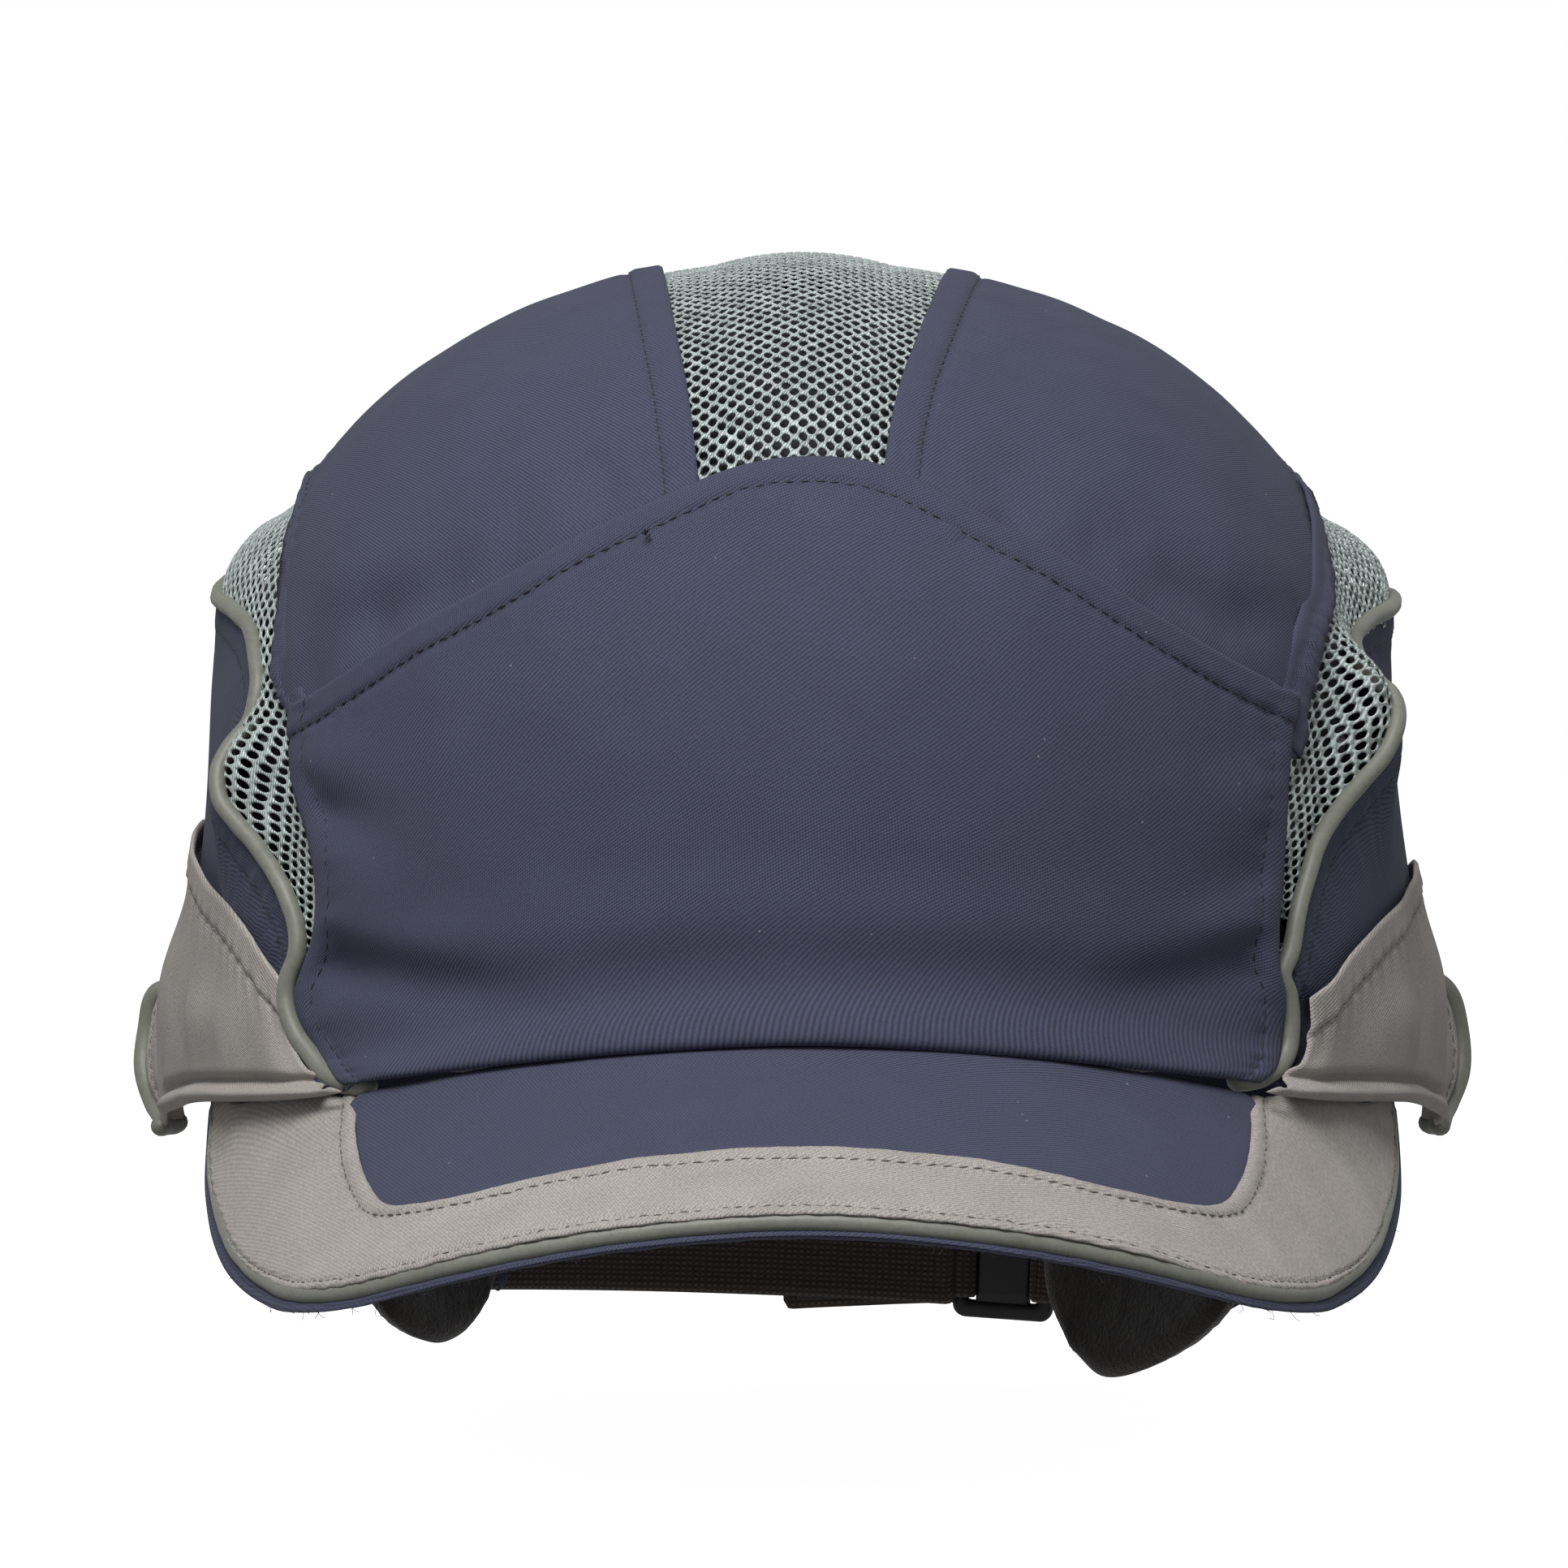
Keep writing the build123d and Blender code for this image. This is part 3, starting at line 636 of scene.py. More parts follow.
class Stitching:
    """Collects many small stitches that become one piece."""

    def __init__(self):
        self.points, self.faces, self.count = [], [], 0

    def thread(self, path, width, height, normals=None, sides=6):
        points, faces, _ = tube_mesh(path, width, height, normals, sides)
        self.points.append(points)
        self.faces.append(faces + self.count)
        self.count += len(points)

    def run(self, line, pitch=2.3, length=1.6, thick=0.25, seed=3, sink=0.04):
        """A row of lockstitches along a line of points and normals."""
        points, normals = line
        reach = lengths(points)
        dice = np.random.default_rng(seed)
        steps = np.linspace(0, 1, 5)
        for spot in np.arange(pitch, reach[-1] - length, pitch):
            length_here = length * dice.uniform(0.85, 1.1)
            at = spot + dice.uniform(-0.1, 0.1) + steps * length_here
            path = np.stack([np.interp(at, reach, c) for c in points.T], -1)
            up = np.stack([np.interp(at, reach, c) for c in normals.T], -1)
            side = unit(np.cross(np.gradient(path, axis=0), up))
            path = path + up * (np.sin(steps * math.pi) * thick * 0.45 - sink)[:, None]
            path = path + side * (dice.uniform(-0.12, 0.12) * (steps - 0.5))[:, None]
            thin = thick * (0.45 + 0.55 * np.sin(np.clip(steps, 0.08, 0.92) * math.pi))
            self.thread(path, thin, thin * 0.8, up)

    def knot(self, centre, size, seed):
        """A small tangle of thread ends."""
        dice = np.random.default_rng(seed)
        for _ in range(4):
            spread = dice.normal(size=(4, 3)) * size
            path = curve(np.asarray(centre) + spread)(np.linspace(0, 1, 10))
            self.thread(path, 0.3, 0.3, sides=5)

    def piece(self, name, material, slot, *nodes):
        thing = build(name, np.vstack(self.points), np.vstack(self.faces), material, face_out=False)
        place(thing, slot, *nodes)


navy_stitches, grey_stitches, light_stitches = Stitching(), Stitching(), Stitching()


# ---------------------------------------------------------------- nets
# Net cells: column spacing, pitch up a column, how far the strands zigzag, and the
# half width and half height of a hole.
CROWN_CELL = (1.35, 3.1, 0.3, 0.66, 0.86)
SIDE_CELL = (2.3, 1.7, 0.35, 0.78, 0.6)
NET_YARN = 0.3


def net(name, lift, keep, half_width, length, cell, node):
    """Knitted net of staggered six-sided holes, laid on a surface. lift turns places in
    millimetres across and along the net into points; keep says which holes to make."""
    column, pitch, zigzag, hole_x, hole_y = cell
    columns = np.arange(int(-half_width // column), int(half_width // column) + 1)
    i, j = (g.ravel() for g in np.meshgrid(columns, np.arange(int(length // pitch) + 1), indexing="ij"))
    centres = np.stack([i * column, (j + 0.5 * (i % 2)) * pitch], -1)
    centres = centres[keep(centres)]
    half, out, back, top = column / 2, column / 2 + zigzag, column / 2 - zigzag, pitch / 2
    hexagon = np.array([
        (out, 0), (half, top / 2), (back, top), (0, top), (-back, top), (-half, top / 2),
        (-out, 0), (-half, -top / 2), (-back, -top), (0, -top), (back, -top), (half, -top / 2),
    ])
    angle = np.arctan2(hexagon[:, 1] / top, hexagon[:, 0] / out)
    hole = np.stack([hole_x * np.cos(angle), hole_y * np.sin(angle)], -1)
    ridge_lift = np.array([1.0, 0.8, 1.0, 0.3, 1.0, 0.8] * 2) * NET_YARN

    def at(flat, height):
        u, v = flat[..., 0], flat[..., 1]
        flat = flat + 0.16 * np.stack([np.sin(v * 0.9 + u * 0.31), np.sin(u * 0.83 + v * 0.27)], -1)
        step = 0.5
        point = lift(flat)
        normal = unit(np.cross(lift(flat + [step, 0]) - point, lift(flat + [0, step]) - point))
        sign = np.sign(np.sum(normal * (point - [0, 0, 20]), axis=-1, keepdims=True))
        return point + normal * sign * height[:, None]

    outline = centres[:, None] + hexagon
    rim = centres[:, None] + hole
    levels = (
        at(outline, ridge_lift), at(0.5 * outline + 0.5 * rim, ridge_lift * 0.85), at(rim, 0 * ridge_lift),
        at(outline, 0 * ridge_lift - 0.8 * NET_YARN),
    )
    points = np.concatenate(levels, axis=1).reshape(-1, 3)
    sides = len(hexagon)
    base = (np.arange(len(centres)) * len(levels) * sides)[:, None]
    here, after = np.arange(sides)[None], (np.arange(sides)[None] + 1) % sides
    faces = []
    for level in range(3):
        a, b = base + level * sides, base + (level + 1) * sides
        faces.append(np.stack([a + here, a + after, b + after, b + here], -1).reshape(-1, 4))
    _, first, back = np.unique(np.round(points, 3), axis=0, return_index=True, return_inverse=True)
    place(build(name, points[first], back.ravel()[np.vstack(faces)], "net"), "net", node)


def inside_outline(points, outline):
    """Which points lie inside a closed outline."""
    x, y = points[:, 0], points[:, 1]
    outline = np.asarray(outline, float)
    inside = np.zeros(len(points), bool)
    for (x0, y0), (x1, y1) in zip(outline, np.roll(outline, -1, axis=0)):
        crosses = (y0 > y) != (y1 > y)
        with np.errstate(divide="ignore", invalid="ignore"):
            at = x0 + (y - y0) * (x1 - x0) / (y1 - y0)
        inside ^= crosses & (x < at)
    return inside


# Half width of the crown's net, where the crown panels end at the sides, how far they run
# under the front and rear panels, and the height and slope of those panels' tops.
STRIP_X = 21.5
PANEL_X = 77
LAP = 9
FRONT_APEX_Z, FRONT_SLOPE = 84.5, 0.493
REAR_APEX_Z, REAR_SLOPE = 88, 0.54


def crown_mesh():
    angles = np.linspace(20, 160, 400)
    spine = crown_turn(0 * angles, angles, 1.0)
    run = lengths(spine)

    def lift(flat):
        x = flat[..., 0]
        angle = np.interp(flat[..., 1], run, angles)
        bulge = 1.3 * (1 - np.clip(np.abs(x) / 14, 0, 1) ** 2)
        return crown_turn(x, angle, NET_OFF + bulge)

    def keep(flat):
        at = lift(flat)
        low = FRONT_APEX_Z - FRONT_SLOPE * np.abs(flat[:, 0]) - 3.5
        narrow = np.interp(at[:, 2], (84, 92), (17.5, STRIP_X + 1))
        wide = np.where(at[:, 1] < 0, narrow, STRIP_X + 1)
        return (np.abs(flat[:, 0]) < wide) & (at[:, 2] > low)

    net("crown_net", lift, keep, 26, run[-1], CROWN_CELL, "crown_mesh")


# ---------------------------------------------------------------- piping and side band
# Piping up each side, from the peak's corner over the side and round to the back.
BACK_OF_PIPING = ((84, 58, 59), (70, 82, 50), (50, 99.5, 37), (29, 110, 27))
PIPING = {
    -1: (
        (64.6, -83.5, -10.4), (70.1, -77.5, -9.9), (73.8, -73, -7.2), (76.9, -69.5, -3), (78.5, -67.5, 1.6),
        (78.2, -67, 5.2), (76.9, -67, 8.8), (76.9, -66, 12.9), (78.5, -64, 17.5), (81.1, -60.5, 22.1),
        (83.7, -56.5, 25.5), (86.7, -53.5, 28.8), (89.2, -51, 32.1), (89.5, -49, 36.2), (87.9, -47.5, 39.9),
        (84.9, -46, 43.7), (83.7, -44.5, 48.5), (83.8, -41, 52.6), (85, -34.5, 57.3), (88.3, -21, 60.5),
        (91.3, -6, 62.3), (90.6, 10, 64.5), (87.9, 30, 64.6), *BACK_OF_PIPING,
    ),
    1: (
        (64.2, -83.5, -9.5), (69.7, -77.5, -8.9), (73, -73.5, -5.9), (73.7, -72.5, -1.6), (73.4, -72.5, 2.8),
        (72.4, -73, 6), (73.7, -71.5, 9.1), (75, -69.5, 15.3), (76.4, -67, 20.2), (78.4, -63, 25.8),
        (81.2, -57.5, 30), (85.5, -51.5, 34.7), (89.3, -47.5, 38.9), (91.4, -43.5, 44.3), (90.7, -40, 47.5),
        (86.9, -36, 51.1), (85.2, -29.5, 55.3), (87.6, -18, 58.6), (91.6, -4, 60.3), (93.2, 10, 61.8),
        (90.5, 34, 62.5), *BACK_OF_PIPING,
    ),
}
# Lower edge of each side panel as (y, z), and the arch of the rear opening.
HEM_FRONT = ((-83, -10), (-60, -11.5), (-30, -12.5), (0, -14), (44, -18), (54, -28))
HEM = {
    1: (*HEM_FRONT, (61, -41), (70, -51), (82, -58), (92, -60)),
    -1: (*HEM_FRONT, (63, -44), (74, -52), (88, -54.5), (94, -53)),
}
ARCH_FOOT = {1: -60, -1: -53}
ARCH_X = 51.6
ARCH_Z = -25


def draw_top_edge(cloth, edge_points, reach=17.0):
    """Draw a panel's top edge out to given points, the move dying away down the panel."""
    move = (edge_points - cloth.p[:, -1])[:, None]
    cloth.p = cloth.p + move * bell(cloth.top, reach)[..., None]
    cloth.measure()


def side_piece(side, label):
    path = np.array([(side * x, y, z) for x, y, z in PIPING[side]])
    route = curve(path)
    edge = route(np.linspace(0, 1, 60))
    wide = np.abs(edge[:, 0]) > 60
    top = band_places(edge[wide][:, 1:])
    top += band_places_behind([(abs(x), z) for x, y, z in edge[~wide] if y > 0])
    arch = [(ARCH_X, z) for z in np.linspace(ARCH_FOOT[side], ARCH_Z, 6)]
    arch += [(ARCH_X * math.cos(a), ARCH_Z + ARCH_X * math.sin(a)) for a in np.radians(np.linspace(8, 58, 8))]
    arch_places = band_places_behind(arch)
    hem = band_places(HEM[side])
    corner = band_places([(edge[wide][0, 1], -10)])[0]
    flat = coons(
        curve([corner, *hem[1:], arch_places[0]]), curve(top, False),
        curve([corner, top[0]], False), curve([*arch_places, top[-1]], False),
        marks(260, 0.9, 2.0, 90, (True, False)), marks(95, 0.8, 2.2, 9),
    )
    cloth = Cloth(band(flat, SIDE_OFF, side), (0, 20, 0))
    draw_top_edge(cloth, np.array([path_near(route, p) for p in cloth.p[:, -1]]))
    gathers = 0.9 * wobble(cloth.p * [1, 1, 0.4], 26, 9 + side) * ease(cloth.top / 12) * bell(cloth.left, 70)
    folds = 0.5 * wobble(cloth.p, 60, 5 + side) + gathers
    covered = -1.6 * ease((4 - cloth.p[..., 2]) / 6) * ease((40 - cloth.p[..., 1]) / 10)
    knee = -3.8 * bell(cloth.p[..., 1] - 50, 13) * ease((-9 - cloth.p[..., 2]) / 8)
    folds = covered + knee + folds
    cloth.push(folds + cloth.hem("top", 6.5, 0.2, 0.15, 0.12, 7) + cloth.hem("right", 5, 0.3, 0.2, 0.1, 8))
    cloth.panel(f"lower_side_panel_{label}", thickness=0.8)
    navy_stitches.run(cloth.line("top", 6.5), seed=21 + side)
    navy_stitches.run(cloth.line("right", 5), seed=23 + side)

    spots = np.linspace(0, 1, 420)
    path_fine = route(spots)
    thick = 2.7 + 0.7 * bell(spots, 0.09) + 0.1 * wobble(path_fine, 30, 31)
    path_fine = path_fine + 0.12 * wobble_all_ways(path_fine, 9, 33)
    tube(f"side_piping_{label}", path_fine, thick, thick, "piping", sides=14)


def path_near(route, point, samples=300):
    """The place on a route nearest to a point."""
    spots = route(np.linspace(0, 1, samples))
    return spots[np.argmin(np.linalg.norm(spots - point, axis=1))]


def side_net(side, label):
    angles = np.linspace(-5, 88, 300)
    rib = side_turn(0 * angles, angles, 1.0, side)
    run = lengths(rib)
    edge = curve(PIPING[side])(np.linspace(0, 1, 90))
    level = (edge[:, 0] / HALF_WIDTH) ** 2 + (edge[:, 1] / HALF_LENGTH) ** 2 + crown_height(edge[:, 2], 0)
    stand_off = np.clip((np.sqrt(level) - 1) * HALF_WIDTH - 1.2, 0, 7)

    def lift(flat):
        turn = np.interp(flat[..., 1], run, angles)
        base = side_turn(flat[..., 0], turn, NET_OFF, side)
        gap = np.linalg.norm(base[..., None, 1:] - edge[:, 1:], axis=-1)
        near = bell(gap, 4) + 1e-9
        bulge = np.sum(near * stand_off, axis=-1) / np.sum(near, axis=-1)
        clear = ease((np.abs(base[..., 0]) - 77.5) / 5)
        bulge = clear * bulge * bell(gap.min(axis=-1), 11)
        return side_turn(flat[..., 0], turn, NET_OFF + bulge, side)

    route = curve([(y, z) for x, y, z in PIPING[side] if abs(x) > 69 or y < 0])(np.linspace(0, 1, 60))
    low = [(y, z - 1.6) for y, z in route]
    outline = [*low, (84, 30), (84, 95), (-80, 95), (-76, 0)]

    def keep(flat):
        at = lift(flat)
        beyond = (np.abs(at[:, 0]) > PANEL_X - 6.5) | (at[:, 2] < 20)
        front = np.abs(at[:, 0]) > np.where(at[:, 1] < 0, 72, 56)
        return inside_outline(at[:, 1:], outline) & beyond & front & (at[:, 2] > 8)

    net(f"side_net_{label}", lift, keep, 90, run[-1], SIDE_CELL, f"side_mesh_{label}")


# Outline of each grey side panel as (y, z), split at its corners.
GREY_TOP = {
    -1: (
        (-67, 4.5), (-62, 8.5), (-55, 12.5), (-46, 15.5), (-28, 20), (-4, 25), (16, 27), (30, 22),
        (40, 10), (46, 1),
    ),
    1: (
        (-72, 2.5), (-66, 5), (-58, 9), (-46, 13), (-28, 16.5), (-4, 19.5), (16, 20.5), (30, 17),
        (40, 8), (46, 1),
    ),
}
GREY_FRONT = {
    -1: ((-83, -11.5), (-77, -10), (-72.5, -7.2), (-69, -3), (-67, 1.6), (-67, 4.5)),
    1: ((-83, -11.5), (-77, -9.3), (-73, -6), (-72, -2), (-72, 2.5)),
}
GREY_BOTTOM = (
    (-83, -11.5), (-75, -12.8), (-60, -14), (-45, -14.8), (-30, -15.8), (-10, -18.2), (10, -20.8),
    (25, -22.2), (40, -22.4),
)
GREY_REAR = ((40, -22.4), (50, -19), (54.5, -10), (52, -2), (46, 1))


def grey_piece(side, label):
    outlines = (GREY_BOTTOM, GREY_TOP[side], GREY_FRONT[side], GREY_REAR)
    flat = coons(
        *(curve(band_places(outline)) for outline in outlines),
        marks(140, 0.8, 1.4, 60), marks(40, 0.6, 1.2, 9),
    )
    cloth = Cloth(band(flat, GREY_OFF, side), (0, 20, 0))
    y, z = cloth.p[..., 1], cloth.p[..., 2]
    yz = np.stack([y, z], -1)
    lobe = 9 * np.clip((y - 34) / 20, 0, 1.1) ** 1.3 * np.exp(-(((z + 9.5) / 13) ** 4))
    tuck = -1.8 * bell(y - 27 + 0.3 * z, 4.5) * ease((10 - z) / 12)
    belly = 1.6 * bell(y - 8, 26) * bell(z - 2, 9)
    roll = 1.5 * bell(cloth.bottom - 3.2, 2.6) - 1.5 * bell(cloth.bottom - 8.0, 1.6)
    soft = 0.7 * wobble(cloth.p * [1, 1, 0.6], 34, 41 + side) + crease(yz, (-30, -2), (-66, -3), 5, 1.0)
    sag = -1.4 * bell(cloth.left, 5)
    cloth.push(lobe + tuck + belly + roll * ease((8 - y) / 18) + soft + sag)
    cloth.push(cloth.hem("top", 5.6, 0.55, 0.3, 0.2, 43) + cloth.hem("right", 6, 0.4, 0.3, 0.12, 45))
    cloth.panel(f"grey_side_panel_{label}", "grey")
    grey_stitches.run(cloth.line("top", 5.6), seed=47)
    light_stitches.run(cloth.line("top", 5.8, 0.02, 0.3), pitch=4.6, thick=0.26, seed=48)
    grey_stitches.run(cloth.line("right", 6), seed=49)

    points, normals = cloth.line("right", 0.0)
    lower, lower_normals = cloth.line("bottom", 0.3, 0.78, 1.0)
    path = np.vstack([lower, points])[::6] + np.vstack([lower_normals, normals])[::6] * 0.4
    tube(f"tab_piping_{label}", curve(path)(np.linspace(0, 1, 130)), 3.2, 3.2, "piping", sides=14)


# ---------------------------------------------------------------- crown panels
# Outline of the front panel as (x, z), split at its corners.
FRONT_SIDES = {
    -1: (
        (-68, -10.4), (-73, -7), (-76.2, -2), (-77.2, 2.5), (-76.2, 7), (-74.8, 12), (-74.4, 18), (-75.5, 26),
        (-78.2, 35), (-78.8, 40), (-78, 46.4),
    ),
    1: (
        (67.4, -10), (71, -7), (72.4, -2), (72.3, 3), (71.3, 7), (71.6, 12), (72.6, 25), (73.4, 37),
        (74.3, 44), (75, 48),
    ),
}
FRONT_TOP = (
    (-78, 46.4), (-70, 51.5), (-60, 58.4), (-45, 66.5), (-29, 75), (-17, 80), (-8, 83.3), (0, 84.6),
    (6, 84.4), (12.8, 82.9), (25.5, 76.8), (40, 69), (53.7, 60.3), (65, 53.5), (75, 48),
)
SEAM = ((-68, -10.4), (-50, -7.3), (-30, -4.6), (0, -2.7), (30, -4.6), (50, -7.3), (67.4, -10))


# Creases of the front panel, seen from the front: where each is deepest, where it runs
# out, its width and its depth, which is below 0 for a dent.
FRONT_CREASES = (
    ((-70, 7), (-34, 4), 4.6, -3.1), ((68, 8), (38, 4), 4.6, -2.9),
    ((-72, 14), (-44, 8), 4.0, 1.2), ((70, 15), (46, 10), 4.0, 1.0),
    ((-75, 31), (-58, 28), 4.0, -1.6), ((-74, 38), (-56, 37), 5.0, 0.9),
    ((-73, 22), (-52, 16), 5.0, 0.9),
    ((72, 22), (52, 18), 5.0, -1.1), ((72, 34), (56, 32), 5.0, 0.7),
)


def front_panel():
    us, vs = marks(175, 0.8, 1.6, 12), marks(98, 0.7, 1.8, 9)
    flat = coons(curve(SEAM), curve(FRONT_TOP), curve(FRONT_SIDES[-1]), curve(FRONT_SIDES[1]), us, vs)
    cloth = Cloth(crown_front(flat, LAP_OFF), (0, 0, 10))
    from_side = np.minimum(cloth.left, cloth.right)
    over_seam = 2.6 * ease(1 - cloth.bottom / 9.5) - 0.5 * bell(cloth.bottom, 1.0)
    middle_dent = 0.9 * ease((30 - cloth.bottom) / 12) - 0.9 * bell(cloth.bottom - 12, 5)
    slack = 0.55 * wobble(cloth.p, 70, 51, 1) + 0.22 * wobble(cloth.p, 24, 52)
    folds = sum(crease(cloth.p[..., [0, 2]], *line) for line in FRONT_CREASES)
    folds *= ease((cloth.bottom - 2) / 6) * ease(from_side / 8)
    cloth.push(folds + over_seam * (0.45 + 0.55 * ease(from_side / 16)) + middle_dent + slack)
    cloth.push(
        cloth.hem("top", 5.2, 0.5, 0.35, 0.12, 53)
        + cloth.hem("left", 5.2, 0.3, 0.3, 0.14, 54)
        + cloth.hem("right", 5.2, 0.3, 0.3, 0.14, 55)
    )
    cloth.panel("front_panel")
    navy_stitches.run(cloth.line("top", 5.2), seed=57)
    for edge in ("left", "right"):
        navy_stitches.run(cloth.line(edge, 5.2), seed=58)
    navy_stitches.knot(crown_front(np.array([-23.4, 73.0]), LAP_OFF + 1.1), 0.35, 59)


def mirrored(points):
    """Plan points that run in to the middle, given for +x, as a whole line from -x to +x."""
    return [(-x, y) for x, y in points] + list(points[::-1])[1:]


def rear_panel():
    low = [(ARCH_X * math.cos(a), ARCH_Z + ARCH_X * math.sin(a)) for a in np.radians(np.linspace(90, 29, 12))]
    side_line = [(low[-1][0], 0), (60, 12), (66, 30), (67, 52)]
    high = ((67, 52), (40, 68), (14, 84.5), (7, 87), (0, 88))
    flat = coons(
        curve(mirrored(low[::-1])), curve(mirrored(high)),
        curve([(-x, z) for x, z in side_line]), curve(side_line),
        marks(140, 0.9, 1.6, 12), marks(66, 0.7, 1.8, 9),
    )
    cloth = Cloth(crown_front(flat, LAP_OFF, -1), (0, 0, 10))
    cloth.push(0.5 * wobble(cloth.p, 60, 61, 1) + 0.3 * wobble(cloth.p, 22, 62))
    cloth.push(cloth.hem("top", 4.6, 0.5, 0.35, 0.14, 63) + cloth.hem("bottom", 5, 0.3, 0.3, 0.12, 64))
    cloth.panel("rear_panel")
    navy_stitches.run(cloth.line("top", 4.6), seed=65)
    navy_stitches.run(cloth.line("bottom", 5), seed=66)


# How far from the middle the crown panels' inner and outer edges lie, at turns in degrees
# from the front over the top to the back.
CROWN_INNER = {
    -1: ((40, 15.5), (50, 17.2), (60, 19.2), (80, 21.5), (110, 22.0), (150, 19.0)),
    1: ((40, 11.5), (50, 14.0), (60, 17.5), (80, 22.0), (110, 22.0), (150, 19.0)),
}
CROWN_OUTER = {
    -1: ((22, 70), (30, 71.5), (36, 74.5), (42, 77.5), (50, 79), (60, 78.6), (90, 77), (150, 77)),
    1: ((22, 68), (30, 70), (40, 73.4), (47.5, 75.4), (55, 77.8), (64, 78.5), (90, 77), (150, 77)),
}


def crown_panel(side, label):
    """Panel over the top, between the middle net and a side net."""
    xs = np.linspace(17.5, PANEL_X, 40)

    def turn_at(x, z, back):
        y = crown_front(np.stack([x, z], -1), CROWN_OFF, back)[..., 1]
        return np.degrees(np.arctan2(z, -y))

    ahead = FRONT_APEX_Z - FRONT_SLOPE * xs - LAP
    behind = REAR_APEX_Z - REAR_SLOPE * xs - LAP
    front_turns, rear_turns = turn_at(xs, ahead, 1), turn_at(xs, behind, -1)
    # Inner and outer edges as (x, turn): the inner one leans out towards the top.
    inner_turns = np.linspace(front_turns[0], rear_turns[0], 24)
    inner = list(zip(spline(*zip(*CROWN_INNER[side]), np.clip(inner_turns, 30, 150)), inner_turns))
    outer_turns = np.linspace(front_turns[-1], rear_turns[-1], 30)
    outer = list(zip(spline(*zip(*CROWN_OUTER[side]), outer_turns), outer_turns))
    flat = coons(
        curve(inner), curve(outer),
        curve([inner[0], *zip(xs[2:-1], front_turns[2:-1]), outer[0]]),
        curve([inner[-1], *zip(xs[2:-1], rear_turns[2:-1]), outer[-1]]),
        marks(250, 0.9, 1.7, 45), marks(75, 0.7, 1.8, 9),
    )
    points = crown_turn(flat[..., 0], flat[..., 1], CROWN_OFF) * [side, 1, 1]
    cloth = Cloth(points, (0, 0, 10))
    q = cloth.p[..., [0, 2]]
    folds = crease(q, (side * 66, 60), (side * 40, 72), 4.0, -1.3)
    folds += crease(q, (side * 70, 66), (side * 50, 76), 5.0, 0.9)
    folds += crease(q, (side * 30, 80), (side * 34, 92), 5.0, -0.8)
    folds *= cloth.p[..., 1] < 0
    folds += 0.5 * wobble(cloth.p * [1, 0.5, 0.5], 11, 79 + side) * bell(cloth.left - 16, 13)
    cloth.push(folds + 0.6 * wobble(cloth.p, 65, 71 + side, 1) + 0.28 * wobble(cloth.p, 23, 72 + side))
    cloth.push(cloth.hem("bottom", 5.4, 0.55, 0.35, 0.09, 73) + cloth.hem("top", 4.4, 0.5, 0.35, 0.12, 74))
    cloth.panel(f"crown_panel_{label}")
    navy_stitches.run(cloth.line("bottom", 5.4), seed=75)
    navy_stitches.run(cloth.line("top", 4.4), seed=76)


# ---------------------------------------------------------------- peak
# Half of the peak's outline and of the border's inner edge, in plan, from the side in to
# the middle.
PEAK_EDGE = (
    (91.6, -24), (91.8, -40), (90, -62), (86, -88), (80.5, -110), (75.5, -124), (66, -139.5),
    (50, -152.5), (26, -162.3), (0, -165),
)
BORDER_EDGE = (
    (67.3, -79), (67, -92), (64.6, -110), (61, -122), (53, -131.5), (40, -138.5), (20, -143), (0, -144.3),
)


def seam_y(x, off=3.0):
    return -(HALF_LENGTH + off) * np.sqrt(1 - (x / (HALF_WIDTH + off)) ** 2)


# How far the peak's top rises at its side ends, to meet the hem above it, and over what width.
WING_RISE = 3.4
WING_REACH = 9


def lift_wings(cloth):
    rise = WING_RISE * ease((np.abs(cloth.p[..., 0]) - 66) / 12)
    cloth.p[..., 2] += rise * (bell(cloth.left, WING_REACH) + bell(cloth.right, WING_REACH))
    cloth.measure()


def peak_cloth(flat, depth, up=-900):
    """Cloth of the peak, its pattern laid in plan. up tells its outer face from its inner."""
    cloth = Cloth(peak(flat, depth), (0, -120, up))
    cloth.uv = flat.copy()
    return cloth


